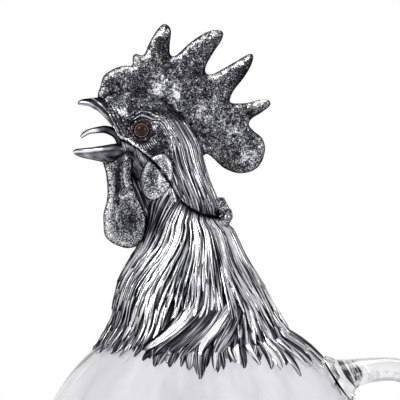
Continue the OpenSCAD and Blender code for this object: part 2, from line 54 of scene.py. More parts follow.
# Radius and height of the push-up under the glass foot, how far the edge and the middle of the
# floor inside lie over the base's thickness, and the foot's ground edge as radius and height
PUSH_UP_R, PUSH_UP_H, FLOOR_EDGE, FLOOR_MIDDLE = 36.0, 1.8, 3.0, 2.2
FOOT_EDGE = [[39.6, 0.0], [41.2, 0.25]]
# How deep the handle's ends lie in the globe's wall, and the half width and half height of the
# ovals that its upper and lower root cover on the globe
ROOT_SINK, HIGH_ROOT, LOW_ROOT = 0.9, (18.4, 13.9), (15.0, 10.8)
# Polish of the castings' insides, which nobody rubs
INSIDE_POLISH = 0.36
# How far the feathers' points hang below the hem of the skin under them, and the top of the head's
# casting as a share of the bird
HEM_LAP, CROWN_SHARE = 9.0, 0.784
# Radius and distance of the ridges over the eye, and the height where the head's feathers start
ARC_R, ARC_PITCH, HEAD_FEATHERS_TOP = 15.7, 1.3, 259.0


def bird_z(share):
    """Height of a share of the bird over its shoulder."""
    return SHOULDER_Z + BIRD_H * share


# Skin of the bird from hem to crown: height, front, back and half width
SKIN_SHARES = np.array([
    [-0.160, -0.600, 0.640, 1.120], [-0.103, -0.555, 0.550, 1.000],
    [-0.053, -0.525, 0.470, 0.890], [0.013, -0.470, 0.405, 0.785],
    [0.080, -0.450, 0.350, 0.715], [0.147, -0.425, 0.290, 0.610],
    [0.213, -0.375, 0.230, 0.520], [0.263, -0.330, 0.185, 0.445],
    [0.313, -0.310, 0.140, 0.375], [0.347, -0.300, 0.088, 0.330],
    [0.373, -0.300, 0.080, 0.305], [0.413, -0.320, 0.065, 0.285],
    [0.480, -0.355, 0.025, 0.275], [0.547, -0.400, -0.005, 0.270],
    [0.607, -0.430, -0.025, 0.260], [0.680, -0.475, -0.085, 0.230],
    [0.727, -0.500, -0.150, 0.190], [0.760, -0.495, -0.215, 0.125],
    [0.787, -0.395, -0.305, 0.030]])
# Seam between lid and neck, in the side view
SEAM_SHARES = np.array([
    [-0.455, 0.619], [-0.415, 0.617], [-0.370, 0.609], [-0.315, 0.586], [-0.265, 0.559],
    [-0.220, 0.531], [-0.180, 0.496], [-0.150, 0.464], [-0.120, 0.426], [-0.065, 0.393],
    [-0.025, 0.379], [0.020, 0.367], [0.065, 0.359], [0.115, 0.353]])
# Outlines of the comb and of a wattle in the side view, each one time round
COMB_SHARES = np.array([
    [-0.525, 0.757], [-0.510, 0.797], [-0.495, 0.827], [-0.455, 0.847], [-0.405, 0.860],
    [-0.355, 0.863], [-0.350, 0.890], [-0.335, 0.900], [-0.295, 0.898], [-0.265, 0.940],
    [-0.225, 0.983], [-0.190, 1.000], [-0.160, 0.980], [-0.165, 0.933], [-0.165, 0.903],
    [-0.150, 0.893], [-0.125, 0.900], [-0.065, 0.937], [0.010, 0.970], [0.070, 0.980],
    [0.100, 0.970], [0.090, 0.943], [0.050, 0.903], [0.015, 0.860], [0.015, 0.837],
    [0.045, 0.833], [0.105, 0.853], [0.175, 0.880], [0.230, 0.900], [0.250, 0.893],
    [0.240, 0.863], [0.205, 0.823], [0.155, 0.780], [0.135, 0.750], [0.145, 0.737],
    [0.215, 0.737], [0.280, 0.747], [0.325, 0.747], [0.335, 0.730], [0.295, 0.707],
    [0.240, 0.683], [0.230, 0.663], [0.255, 0.643], [0.295, 0.620], [0.310, 0.583],
    [0.290, 0.537], [0.245, 0.510], [0.175, 0.503], [0.105, 0.520], [0.055, 0.550],
    [0.020, 0.567], [-0.012, 0.560], [-0.037, 0.607], [-0.100, 0.677], [-0.165, 0.720],
    [-0.230, 0.748], [-0.350, 0.775], [-0.455, 0.760], [-0.490, 0.745]])
WATTLE_SHARES = np.array([
    [-0.497, 0.550], [-0.483, 0.507], [-0.475, 0.450], [-0.480, 0.413], [-0.495, 0.373],
    [-0.495, 0.337], [-0.488, 0.300], [-0.455, 0.277], [-0.410, 0.263], [-0.370, 0.258],
    [-0.325, 0.267], [-0.295, 0.293], [-0.280, 0.337], [-0.290, 0.380], [-0.315, 0.417],
    [-0.340, 0.457], [-0.355, 0.500], [-0.345, 0.537], [-0.340, 0.563], [-0.350, 0.585],
    [-0.380, 0.583], [-0.415, 0.563], [-0.455, 0.547]])
# Beaks from tip to root: place along the bird, top, bottom and half width
UPPER_BEAK_SHARES = np.array([
    [-0.625, 0.741, 0.733, 0.05], [-0.618, 0.745, 0.731, 0.16], [-0.600, 0.750, 0.730, 0.28],
    [-0.565, 0.753, 0.726, 0.50], [-0.525, 0.756, 0.712, 0.72], [-0.500, 0.757, 0.698, 0.84],
    [-0.480, 0.758, 0.684, 0.90], [-0.462, 0.758, 0.670, 0.94], [-0.445, 0.757, 0.655, 0.96]])
LOWER_BEAK_SHARES = np.array([
    [-0.648, 0.578, 0.571, 0.08], [-0.635, 0.583, 0.563, 0.34], [-0.600, 0.585, 0.554, 0.58],
    [-0.550, 0.588, 0.547, 0.76], [-0.490, 0.594, 0.538, 0.92], [-0.455, 0.598, 0.533, 0.97],
    [-0.420, 0.600, 0.530, 1.00], [-0.385, 0.590, 0.540, 1.00]])
# Tongue from tip to root: top and bottom places in the side view, half width
TONGUE_SHARES = np.array([
    [-0.614, 0.625, -0.606, 0.619, 0.25], [-0.605, 0.638, -0.592, 0.624, 0.50],
    [-0.580, 0.649, -0.566, 0.633, 0.75], [-0.535, 0.658, -0.530, 0.636, 0.90],
    [-0.485, 0.663, -0.490, 0.636, 1.00], [-0.435, 0.654, -0.450, 0.623, 1.00],
    [-0.402, 0.628, -0.432, 0.601, 1.00], [-0.393, 0.590, -0.427, 0.580, 0.90],
    [-0.395, 0.560, -0.425, 0.556, 0.80]])
# Handle from its upper to its lower root: sweep, distance from the globe, width and thickness
HANDLE_SHARES = np.array([
    [0, 0, 2.65, 2.50], [0.002, 0.05, 2.42, 1.88], [0.008, 0.14, 1.95, 1.32],
    [0.030, 0.28, 1.50, 1.10], [0.057, 0.41, 1.20, 1.02], [0.088, 0.55, 1.05, 1],
    [0.122, 0.67, 1, 1], [0.175, 0.81, 1, 1], [0.244, 0.915, 1, 1], [0.326, 0.98, 1, 1],
    [0.411, 1, 1, 1], [0.498, 0.95, 1, 1], [0.589, 0.85, 1, 1], [0.684, 0.70, 1, 1],
    [0.779, 0.50, 1, 1], [0.865, 0.32, 1.08, 1.02], [0.940, 0.185, 1.26, 1.10],
    [0.982, 0.09, 1.55, 1.32], [0.996, 0.035, 1.90, 1.62], [1, 0, 2.25, 1.95]])
# Height of the feathers' hem by degrees from the nape
HEM_SHARES = np.array([
    [0, -0.113], [25, -0.127], [50, -0.123], [75, -0.103], [100, -0.090], [130, -0.083],
    [180, -0.070]])
# Middles of the eye and the ear lobe in the side view
EYE_AT = np.array([-30.5, bird_z(0.652)])
LOBE_AT = np.array([-23.0, bird_z(0.498)])


# Curves and noise
def along(rows, s):
    """Catmull-Rom curve through the rows of a table, where s counts rows from zero."""
    rows = np.asarray(rows, float)
    s = np.clip(np.asarray(s, float), 0, len(rows) - 1)
    i = np.minimum(np.floor(s).astype(int), len(rows) - 2)
    t = (s - i)[..., None]
    a, b = rows[np.maximum(i - 1, 0)], rows[i]
    c, d = rows[i + 1], rows[np.minimum(i + 2, len(rows) - 1)]
    return (b + (c - a) * t / 2 + (2 * a - 5 * b + 4 * c - d) * t**2 / 2
            + (3 * b - a - 3 * c + d) * t**3 / 2)


def carried(rows, count):
    """The curve through the rows of a table, in that many even steps from end to end."""
    return along(rows, np.linspace(0, len(rows) - 1, count))


def ease(low, high, x):
    """Smooth step from 0 at low to 1 at high."""
    t = np.clip((np.asarray(x, float) - low) / (high - low), 0, 1)
    return t * t * (3 - 2 * t)


def between(x, low, rise, fall, high):
    """Smooth hill: 0 up to low, 1 from rise to fall, and 0 again from high on."""
    return ease(low, rise, x) * ease(high, fall, x)


def bump(x, middle, width):
    """Bell curve of height 1 at middle."""
    return np.exp(-(((x - middle) / width) ** 2))


def spot(flat, x, z, half_x, half_z):
    """Soft oval spot of height 1 in the side view."""
    return bump(flat[:, 0], x, half_x) * bump(flat[:, 1], z, half_z)


def rounded(d, width):
    """Quarter of a circle, from 0 at an edge to 1 at that width from it."""
    return np.sqrt(np.maximum(0, 1 - (1 - np.clip(d / width, 0, 1)) ** 2))


# Odd numbers that stir a lattice point's place and a seed into a hash, and the hash's 32 bits
STIR, MASK = (2246822519, 3266489917, 2654435761), 0xFFFFFFFF
SEED_STEP, SEED_START = 374761393, 668265263


def grain(points, size, seed=0):
    """Value noise from 0 to 1: hashed numbers on a lattice of that size, blended smoothly."""
    q = np.asarray(points, float) / size
    base = np.floor(q).astype(np.int64)
    f = q - base
    f = f * f * (3 - 2 * f)
    total = 0.0
    for corner in np.ndindex(*(2,) * q.shape[-1]):
        at = base + np.array(corner)
        h = np.full(at.shape[:-1], seed * SEED_STEP + SEED_START, np.int64)
        weight = 1.0
        for k, far in enumerate(corner):
            h = ((h ^ (at[..., k] * STIR[k])) & MASK) * STIR[-1] & MASK
            h ^= h >> 15
            weight = weight * (f[..., k] if far else 1 - f[..., k])
        total = total + weight * (h & 0xFFFF) / 65535.0
    return total


def pebbles(points, size, seed=0):
    """Cast pebble grain from 0 to 1: two octaves of value noise, sharpened."""
    return ease(0.25, 0.75, 0.65 * grain(points, size, seed) + 0.35 * grain(points, size / 2, seed + 1))


def stones(flat, size, seed):
    """Pebble grain of a plate, by the place in the side view."""
    return pebbles(np.stack([flat[:, 0], flat[:, 1], 0 * flat[:, 0]], -1), size, seed)


def strands(a, z, radius, reach, size, seed):
    """Noise drawn out down the bird: a lattice of that size on a circle of that radius, with the
    height divided by reach."""
    return grain(np.stack([np.cos(a) * radius, np.sin(a) * radius, z / reach], -1), size, seed)


# The bird's skin
ROW_STEPS = np.linspace(0, len(SKIN_SHARES) - 1, 1801)
ROW_HEIGHTS = bird_z(along(SKIN_SHARES, ROW_STEPS)[:, 0])
# Whole degrees from the nape, 0, to the beak, 180
TURNS = np.arange(181.0)


def skin_row(z):
    """Front, back and half width of the skin at a height, from its table."""
    row = along(SKIN_SHARES, np.interp(z, ROW_HEIGHTS, ROW_STEPS))
    return BIRD_L * row[..., 1], BIRD_L * row[..., 2], BIRD_W / 2 * row[..., 3]


def skin(a, z):
    """Ellipse round the bird at height z, through the front, the back and the half width there."""
    a, z = np.broadcast_arrays(np.asarray(a, float), np.asarray(z, float))
    front, back, half = skin_row(z)
    return np.stack([(front + back) / 2 + (back - front) / 2 * np.cos(a), half * np.sin(a), z], -1)


def outward(a, z):
    """Unit normal of the skin: the cross product of its two tangents."""
    n = np.cross(skin(a + 0.01, z) - skin(a - 0.01, z), skin(a, z + 0.4) - skin(a, z - 0.4))
    return n / np.maximum(np.linalg.norm(n, axis=-1, keepdims=True), 1e-9)


def girth(a, z):
    """Millimetres of skin for each radian round the bird."""
    return np.linalg.norm(skin(a + 0.01, z) - skin(a - 0.01, z), axis=-1) / 0.02


def off_globe(points, r):
    """Points nearer than r to the globe's centre are pushed straight out to r."""
    centre = np.array([0, 0, GLOBE_Z])
    d = np.linalg.norm(points - centre, axis=-1)
    return centre + (points - centre) * np.maximum(1, r / d)[..., None]


def cast(a, z, lift, seat):
    """Skin lifted along its normal, and laid on the glass where it meets it."""
    return off_globe(skin(a, z) + np.asarray(lift)[..., None] * outward(a, z), GLOBE_R + seat)


def turn_of(a):
    """Degrees round the bird from its nape to its beak, the same on both sides."""
    return np.degrees(np.arccos(np.clip(np.cos(a), -1, 1)))


def seam_over(x):
    """Height of the seam over a place along the bird."""
    return bird_z(np.interp(x / BIRD_L, SEAM_SHARES[:, 0], SEAM_SHARES[:, 1]))


def seam_curve():
    """Height of the seam at each whole turn, by halving the interval that holds it."""
    a = np.radians(TURNS)
    low, high = np.full(len(a), 160.0), np.full(len(a), 268.0)
    for _ in range(24):
        mid = (low + high) / 2
        under = mid < seam_over(skin(a, mid)[:, 0])
        low, high = np.where(under, mid, low), np.where(under, high, mid)
    return low


SEAM_TURN = seam_curve()


def seam_at(turn):
    """Height of the seam at degrees from the nape."""
    return np.interp(turn, TURNS, SEAM_TURN)


def hem_at(turn):
    """Height of the feathers' hem at degrees from the nape."""
    return bird_z(np.interp(turn, HEM_SHARES[:, 0], HEM_SHARES[:, 1]))


def cheek_y(x, z):
    """Half width of the bird at a place in the side view."""
    front, back, half = skin_row(z)
    away = (x - (front + back) / 2) / ((back - front) / 2)
    return half * np.sqrt(np.maximum(CHEEK_EDGE, 1 - away**2))


# Nets and meshes
def net(n, m, ring=True, tube=False):
    """Quads of a net of n columns of m points, and each corner's place in the net, which runs
    on past 1 at a closing edge. ring joins the last column to the first, tube each column's ends."""
    i, j = np.meshgrid(np.arange(n if ring else n - 1), np.arange(m if tube else m - 1), indexing="ij")
    i, j = i.ravel(), j.ravel()
    steps = ((0, 0), (0, 1), (1, 1), (1, 0))
    faces = np.stack([(i + p) % n * m + (j + q) % m for p, q in steps], -1)
    places = np.stack([np.stack([i + p, j + q], -1) for p, q in steps], 1) / np.array([n, m])
    return faces, places


def fan(edge, pole):
    """Triangles from a closed edge to one point."""
    return np.stack([edge, np.roll(edge, -1), np.full(len(edge), pole)], -1)


def tube_faces(rings, sides):
    """Faces of a row of closed sections, and a fan from each end to one of the two points that
    follow them."""
    n, edge = rings * sides, np.arange(sides)
    return [net(rings, sides, ring=False, tube=True)[0],
            fan(edge, n)[:, ::-1], fan(n - sides + edge, n + 1)]


def volume_sign(points, faces):
    """Sign of the volume that the faces close, summed over the tetrahedra to the origin."""
    total = 0.0
    for group in faces:
        for k in range(1, group.shape[1] - 1):
            a, b, c = points[group[:, 0]], points[group[:, k]], points[group[:, k + 1]]
            total += np.einsum("ij,ij->", a, np.cross(b, c))
    return np.sign(total)


def place(name, points, faces, body, slot, material, nodes, polish, barbs=None):
    """Makes one piece from points in millimetres and groups of faces of equal length. polish, from
    tarnished 0 to bare 1, is kept for each point, and barbs, the place across the feathers in
    millimetres and along them in steps of about 30, for each corner of each face."""
    points = np.asarray(points, float).reshape(-1, 3)
    groups = faces if isinstance(faces, list) else [faces]
    if volume_sign(points, groups) < 0:
        groups = [g[:, ::-1] for g in groups]
        barbs = None if barbs is None else [b[:, ::-1] for b in barbs]
    mesh = bpy.data.meshes.new(name)
    mesh.from_pydata((points * 0.001).tolist(), [], [f for g in groups for f in g.tolist()])
    mesh.polygons.foreach_set("use_smooth", np.ones(len(mesh.polygons), bool))
    attribute = mesh.attributes.new("polish", "FLOAT", "POINT")
    attribute.data.foreach_set("value", np.asarray(polish, np.float32).ravel())
    if barbs is not None:
        layer = mesh.uv_layers.new(name="barbs")
        layer.data.foreach_set("uv", np.concatenate([b.reshape(-1) for b in barbs]).astype(np.float32))
    mesh.materials.append(material)
    mesh.update()
    piece = bpy.data.objects.new(name, mesh)
    bpy.context.scene.collection.objects.link(piece)
    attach(piece, body)
    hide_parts(*nodes)


# Materials
def linear(code):
    """Linear colour of an sRGB hex code."""
    c = np.array([int(code[i:i + 2], 16) for i in (1, 3, 5)]) / 255
    return (*np.where(c <= 0.04045, c / 12.92, ((c + 0.055) / 1.055) ** 2.4), 1.0)


def add(tree, kind, inputs=None, stops=None, **settings):
    """Adds a node with its settings, its values or links by input name or number, and the stops
    of a ramp."""
    node = tree.nodes.new("ShaderNode" + kind)
    for key, value in settings.items():
        setattr(node, key, value)
    for key, value in (inputs or {}).items():
        if isinstance(value, bpy.types.NodeSocket):
            tree.links.new(value, node.inputs[key])
        else:
            node.inputs[key].default_value = value
    if stops:
        ramp = node.color_ramp
        while len(ramp.elements) < len(stops):
            ramp.elements.new(1.0)
        for element, (at, code) in zip(ramp.elements, stops):
            element.position, element.color = at, linear(code)
    return node


def new_material(name):
    """An empty material and its node tree."""
    material = bpy.data.materials.new(name)
    material.use_nodes = True
    material.node_tree.nodes.clear()
    return material, material.node_tree


# Tarnish on cast silver plate, from the blackened hollows to the bare metal of the ridges
TARNISH = [(0.0, "#151517"), (0.22, "#26262a"), (0.42, "#5a5b60"), (0.58, "#9c9da2"),
           (0.72, "#d1d2d6"), (0.86, "#eeeef1"), (1.0, "#fbfbfc")]
# The same on the pebbled skin, which is rubbed less
CAST_TARNISH = [(0.0, "#121214"), (0.22, "#202023"), (0.44, "#4f5054"), (0.62, "#94959a"),
                (0.80, "#d8d9dc"), (1.0, "#fafafb")]


def silver_surface(tree, level, relief, relief_mm, rough=(0.52, 0.2), tones=TARNISH):
    """Silver whose tarnish and gloss both follow one level, with a fine relief. The sulphide
    film also dulls what is seen at a glancing angle."""
    colour = add(tree, "ValToRGB", {0: level}, stops=tones).outputs[0]
    gloss = add(tree, "MapRange", {0: level, 1: 0.2, 2: 0.8, 3: rough[0], 4: rough[1]}).outputs[0]
    shape = add(tree, "Bump", {"Strength": 1.0, "Distance": relief_mm * 0.001,
                               "Height": relief}).outputs[0]
    shader = add(tree, "BsdfPrincipled", {
        "Base Color": colour, "Metallic": 1.0, "Roughness": gloss, "Normal": shape,
        "Specular Tint": linear("#5a5a5c")})
    add(tree, "OutputMaterial", {"Surface": shader.outputs[0]})


def feather_silver():
    """Oxidised silver plate, chased with fine barbs along each feather and polished on its
    ridges, which gives bare white streaks between black ones. The barbs are 0.6 mm apart."""
    material, tree = new_material("silver_plate_chased_and_oxidised")
    polish = add(tree, "Attribute", attribute_name="polish").outputs["Fac"]
    uv = add(tree, "UVMap", uv_map="barbs").outputs[0]
    fine = add(tree, "TexNoise", {"Vector": uv, "Scale": 1.5, "Detail": 2.0, "Roughness": 0.6},
               noise_dimensions="2D").outputs[0]
    broad = add(tree, "TexNoise", {"Vector": uv, "Scale": 0.38, "Detail": 1.0},
                noise_dimensions="2D").outputs[0]
    streak = add(tree, "MapRange", {0: fine, 1: 0.3, 2: 0.7, 3: -0.36, 4: 0.42}).outputs[0]
    drift = add(tree, "MapRange", {0: broad, 1: 0.3, 2: 0.7, 3: -0.18, 4: 0.16}).outputs[0]
    both = add(tree, "Math", {0: streak, 1: drift}, operation="ADD").outputs[0]
    level = add(tree, "Math", {0: polish, 1: both}, operation="ADD", use_clamp=True).outputs[0]
    silver_surface(tree, level, fine, 0.25)
    return material


def pebbled_silver(name, least):
    """Oxidised silver plate cast with a pebbled skin of 0.6 mm grains, rubbed bright on their
    tops, which gives a dark, glittering surface. least is added to the polish."""
    material, tree = new_material(name)
    polish = add(tree, "Attribute", attribute_name="polish").outputs["Fac"]
    where = add(tree, "TexCoord").outputs["Object"]
    grains = add(tree, "TexNoise", {"Vector": where, "Scale": 1000 / 0.6, "Detail": 2.0,
                                    "Roughness": 0.6}).outputs[0]
    worms = add(tree, "TexNoise", {"Vector": where, "Scale": 1000 / 2.2, "Detail": 2.0,
                                   "Distortion": 0.6}).outputs[0]
    glitter = add(tree, "MapRange", {0: grains, 1: 0.32, 2: 0.68, 3: least - 0.38,
                                     4: least + 0.42}).outputs[0]
    drift = add(tree, "MapRange", {0: worms, 1: 0.32, 2: 0.68, 3: -0.13, 4: 0.15}).outputs[0]
    both = add(tree, "Math", {0: glitter, 1: drift}, operation="ADD").outputs[0]
    level = add(tree, "Math", {0: polish, 1: both}, operation="ADD", use_clamp=True).outputs[0]
    silver_surface(tree, level, grains, 0.2, rough=(0.5, 0.26), tones=CAST_TARNISH)
    return material


def burnished_silver():
    """Silver plate burnished bright, with a soft grey bloom in its hollows and 0.3 mm
    scratches from use: the beaks and the tongue."""
    material, tree = new_material("silver_plate_burnished")
    polish = add(tree, "Attribute", attribute_name="polish").outputs["Fac"]
    where = add(tree, "TexCoord").outputs["Object"]
    bloom = add(tree, "TexNoise", {"Vector": where, "Scale": 1000 / 3.5, "Detail": 3.0}).outputs[0]
    drift = add(tree, "MapRange", {0: bloom, 1: 0.3, 2: 0.7, 3: -0.1, 4: 0.1}).outputs[0]
    level = add(tree, "Math", {0: polish, 1: drift}, operation="ADD", use_clamp=True).outputs[0]
    scratches = add(tree, "TexNoise", {"Vector": where, "Scale": 1000 / 0.3, "Detail": 1.0}).outputs[0]
    silver_surface(tree, level, scratches, 0.02, rough=(0.42, 0.14))
    return material


def hinge_silver():
    """Silver plate turned and filed, worn bright all over but dulled in patches: the
    hinge's pin and its balls, and the throat plate."""
    material, tree = new_material("silver_plate_turned")
    where = add(tree, "TexCoord").outputs["Object"]
    patches = add(tree, "TexNoise", {"Vector": where, "Scale": 1000 / 2.2, "Detail": 2.0}).outputs[0]
    level = add(tree, "MapRange", {0: patches, 1: 0.3, 2: 0.7, 3: 0.4, 4: 0.95}).outputs[0]
    silver_surface(tree, level, patches, 0.05, rough=(0.4, 0.16))
    return material


def blown_glass():
    """Clear blown soda glass, with the slow waves of 30 mm and the faint upright cords that
    turning on the iron leaves."""
    material, tree = new_material("soda_glass_blown")
    where = add(tree, "TexCoord").outputs["Object"]
    waves = add(tree, "TexNoise", {"Vector": where, "Scale": 1000 / 30, "Detail": 1.0}).outputs[0]
    shape = add(tree, "Bump", {"Strength": 0.5, "Distance": 0.0008, "Height": waves}).outputs[0]
    flat = add(tree, "VectorMath", {0: where, 1: (1, 1, 0)}, operation="MULTIPLY").outputs[0]
    around = add(tree, "VectorMath", {0: flat}, operation="NORMALIZE").outputs[0]
    lift = add(tree, "VectorMath", {0: where, 1: (0, 0, 5.0)}, operation="MULTIPLY").outputs[0]
    turned = add(tree, "VectorMath", {0: around, 1: lift}, operation="ADD").outputs[0]
    cords = add(tree, "TexNoise", {"Vector": turned, "Scale": 4.5, "Detail": 3.0}).outputs[0]
    tint = add(tree, "ValToRGB", {0: cords}, stops=[(0.36, "#e9e9eb"), (0.56, "#f4f4f6")]).outputs[0]
    shader = add(tree, "BsdfPrincipled", {
        "Base Color": tint, "Roughness": 0.0, "IOR": 1.5, "Transmission Weight": 1.0,
        "Normal": shape})
    # Where the handle is fused on, both glasses are one and their faces don't bend the light
    fused = add(tree, "Attribute", attribute_name="polish").outputs["Fac"]
    inside = add(tree, "Math", {0: fused, 1: 0.5}, operation="GREATER_THAN").outputs[0]
    clear = add(tree, "BsdfTransparent", {"Color": (1, 1, 1, 1)}).outputs[0]
    mix = add(tree, "MixShader", {0: inside, 1: shader.outputs[0], 2: clear}).outputs[0]
    add(tree, "OutputMaterial", {"Surface": mix})
    return material


def eye_glass():
    """Moulded glass eye: a dark pupil and a red-brown iris under clear glass, in a pale rim.
    The rings are worked out from the distance to the eye's axis."""
    material, tree = new_material("glass_eye_moulded")
    ring = add(tree, "Attribute", attribute_name="polish").outputs["Fac"]
    where = add(tree, "TexCoord").outputs["Object"]
    flecks = add(tree, "TexNoise", {"Vector": where, "Scale": 1000 / 0.7, "Detail": 2.0}).outputs[0]
    shift = add(tree, "MapRange", {0: flecks, 1: 0.3, 2: 0.7, 3: -0.03, 4: 0.03}).outputs[0]
    level = add(tree, "Math", {0: ring, 1: shift}, operation="ADD", use_clamp=True).outputs[0]
    colour = add(tree, "ValToRGB", {0: level}, stops=[
        (0.0, "#0b0807"), (0.36, "#1a0d08"), (0.50, "#2e130b"), (0.64, "#4c1f15"),
        (0.75, "#3c170f"), (0.80, "#240c07"), (0.83, "#dcbcb0"), (0.87, "#dcbcb0"),
        (0.91, "#2a1510")]).outputs[0]
    shader = add(tree, "BsdfPrincipled", {
        "Base Color": colour, "Roughness": 0.06, "IOR": 1.5, "Specular IOR Level": 0.25})
    add(tree, "OutputMaterial", {"Surface": shader.outputs[0]})
    return material


def set_plaster():
    """Plaster of Paris, cast wet and set: chalky white, with 0.8 mm pores."""
    material, tree = new_material("plaster_cast")
    where = add(tree, "TexCoord").outputs["Object"]
    pores = add(tree, "TexNoise", {"Vector": where, "Scale": 1000 / 0.8, "Detail": 3.0}).outputs[0]
    colour = add(tree, "ValToRGB", {0: pores}, stops=[(0.3, "#cfc9bc"), (0.7, "#ebe6dc")]).outputs[0]
    shape = add(tree, "Bump", {"Strength": 1.0, "Distance": 0.0002, "Height": pores}).outputs[0]
    shader = add(tree, "BsdfPrincipled", {"Base Color": colour, "Roughness": 0.9, "Normal": shape})
    add(tree, "OutputMaterial", {"Surface": shader.outputs[0]})
    return material


FEATHER, BURNISHED = feather_silver(), burnished_silver()
PEBBLED = pebbled_silver("silver_plate_pebbled_and_oxidised", 0.0)
SUNKEN = pebbled_silver("silver_plate_blackened", 0.22)
DULLED = pebbled_silver("silver_plate_dulled", 0.44)
TURNED, GLASS, EYE, PLASTER = hinge_silver(), blown_glass(), eye_glass(), set_plaster()


# Glass
def revolve(name, profile, steps, mark, **how):
    """Solid of a profile in radius and height, whose two ends lie on the axis, turned in steps,
    with a number that mark gives to each point."""
    a = 2 * np.pi * np.arange(steps) / steps
    r, z = profile[1:-1, 0], profile[1:-1, 1]
    ring = np.stack([np.cos(a)[:, None] * r, np.sin(a)[:, None] * r, z + 0 * a[:, None]], -1)
    m = len(r)
    points = np.concatenate([ring.reshape(-1, 3), [[0, 0, profile[0, 1]], [0, 0, profile[-1, 1]]]])
    low, high = np.arange(steps) * m, np.arange(steps) * m + m - 1
    faces = [net(steps, m)[0], fan(low, steps * m), fan(high, steps * m + 1)[:, ::-1]]
    place(name, points, faces, polish=mark(points), **how)


def arc(cx, cz, r, first, last, steps):
    """Points of a circle in the half section, by the angle from straight down."""
    a = np.radians(np.linspace(first, last, steps))
    return np.stack([cx + r * np.sin(a), cz - r * np.cos(a)], -1)


def glass_globe():
    """Globe, fillet, neck and rolled rim outside, and the same lines a wall's thickness inside;
    the floor is thick and a little dished, and the ground foot is hollowed under it."""
    fillet_x = NECK_R + FILLET_R
    fillet_z = GLOBE_Z + math.sqrt((GLOBE_R + FILLET_R) ** 2 - fillet_x**2)
    high = 180 - math.degrees(math.atan2(fillet_x, fillet_z - GLOBE_Z))
    foot = math.degrees(math.asin(FOOT_R / GLOBE_R))
    inner_r = GLOBE_R - GLASS_T
    floor = math.degrees(math.acos((GLOBE_Z - BASE_T - FLOOR_EDGE) / inner_r))
    t = np.linspace(0, 1, 14)
    under = np.stack([PUSH_UP_R * t, PUSH_UP_H * (1 - t**2) ** 2], -1)
    outer = arc(0, GLOBE_Z, GLOBE_R, foot + 0.6, high, 110)
    fillet = arc(fillet_x, fillet_z, FILLET_R, high - 180, -90, 14)
    rim = arc(NECK_R - GLASS_T / 2, fillet_z + NECK_H - GLASS_T / 2, GLASS_T / 2, 90, 270, 12)
    fillet_in = arc(fillet_x, fillet_z, FILLET_R + GLASS_T, -90, high - 180, 14)
    inner = arc(0, GLOBE_Z, inner_r, high, floor, 110)
    edge, middle = inner[-1], BASE_T + FLOOR_MIDDLE
    dish = np.stack([edge[0] * (1 - t[1:]), middle - (middle - edge[1]) * (1 - t[1:]) ** 3], -1)
    profile = np.concatenate([under, FOOT_EDGE, outer, fillet, rim, fillet_in, inner, dish])
    revolve("glass_globe", profile, 240, under_roots, body="jug", slot="clear_glass",
            material=GLASS, nodes=["glass_body"])


def under_roots(points):
    """Where the handle is fused on the globe: over a half in the oval that each root covers."""
    out = points - [0, 0, GLOBE_Z]
    shell = ease(0.1, 0.02, np.abs(np.linalg.norm(out, axis=-1) - GLOBE_R))
    total = 0.0
    for lift_a, (half_y, half_t) in ((HANDLE_HIGH_A, HIGH_ROOT), (-HANDLE_LOW_A, LOW_ROOT)):
        a = math.radians(lift_a)
        t = out[:, 2] * math.cos(a) - out[:, 0] * math.sin(a)
        near = out[:, 0] * math.cos(a) + out[:, 2] * math.sin(a) > 0
        from_middle = np.hypot(t / half_t, out[:, 1] / half_y)
        total = total + near * np.clip(0.5 + 2.5 * (0.97 - from_middle), 0, 1)
    return total * shell


def glass_loop():
    """Rod along a curve given by its sweep and its distance from the globe; each section is an
    ellipse square to the curve, and both ends spread where the hot glass was pressed on."""
    rings, sides = 150, 36
    row = carried(HANDLE_SHARES, rings)
    a = np.radians(HANDLE_HIGH_A - (HANDLE_HIGH_A + HANDLE_LOW_A) * row[:, 0])
    d = GLOBE_R + HANDLE_OUT * np.clip(row[:, 1], 0, None) - ROOT_SINK * (row[:, 1] < 0.004)
    mid = np.stack([d * np.cos(a), GLOBE_Z + d * np.sin(a)], -1)
    run = np.gradient(mid, axis=0)
    run /= np.linalg.norm(run, axis=1, keepdims=True)
    side = 2 * np.pi * np.arange(sides) / sides
    thick, wide = HANDLE_T / 2 * row[:, 3], HANDLE_W / 2 * row[:, 2]
    off = thick[:, None] * np.cos(side)
    points = np.stack([mid[:, :1] + run[:, 1:] * off, wide[:, None] * np.sin(side),
                       mid[:, 1:] - run[:, :1] * off], -1)
    core = np.stack([mid[[0, -1], 0], [0, 0], mid[[0, -1], 1]], -1)
    flat = points.reshape(-1, 3)
    pressed = np.repeat(row[:, 1] < 0.1, sides)[:, None]
    flat = np.where(pressed, off_globe(flat, np.full(len(flat), GLOBE_R - ROOT_SINK)), flat)
    flat = np.concatenate([flat, off_globe(core, np.full(2, GLOBE_R - ROOT_SINK))])
    inside = GLOBE_R - np.linalg.norm(flat - [0, 0, GLOBE_Z], axis=-1)
    place("glass_loop", flat, tube_faces(rings, sides), "jug", "clear_glass", GLASS,
          ["glass_handle"], np.clip(0.5 + inside, 0, 1))


# Hackle
def flow(turn, t):
    """Degrees round the bird of a feather that ends at that turn on the hem, at a share t of the
    way down from the seam: the feathers spring from the side of the neck and fan to the front."""
    start = 1 - 0.49 * (turn / 180) ** 0.8
    speed = 1.2 + 3.8 * (turn / 180) ** 2
    return turn * (1 - (1 - start) * (1 - np.clip(t, 0, 1)) ** speed)


def collar_z(end, t):
    """Height of a feather that ends at that turn on the hem, a share t of the way from its root
    on the seam to the hem."""
    root = seam_at(np.minimum(flow(end, 0), 93)) - SEAM_GAP / 2 - 0.2
    return root * (1 - t) + hem_at(end) * t


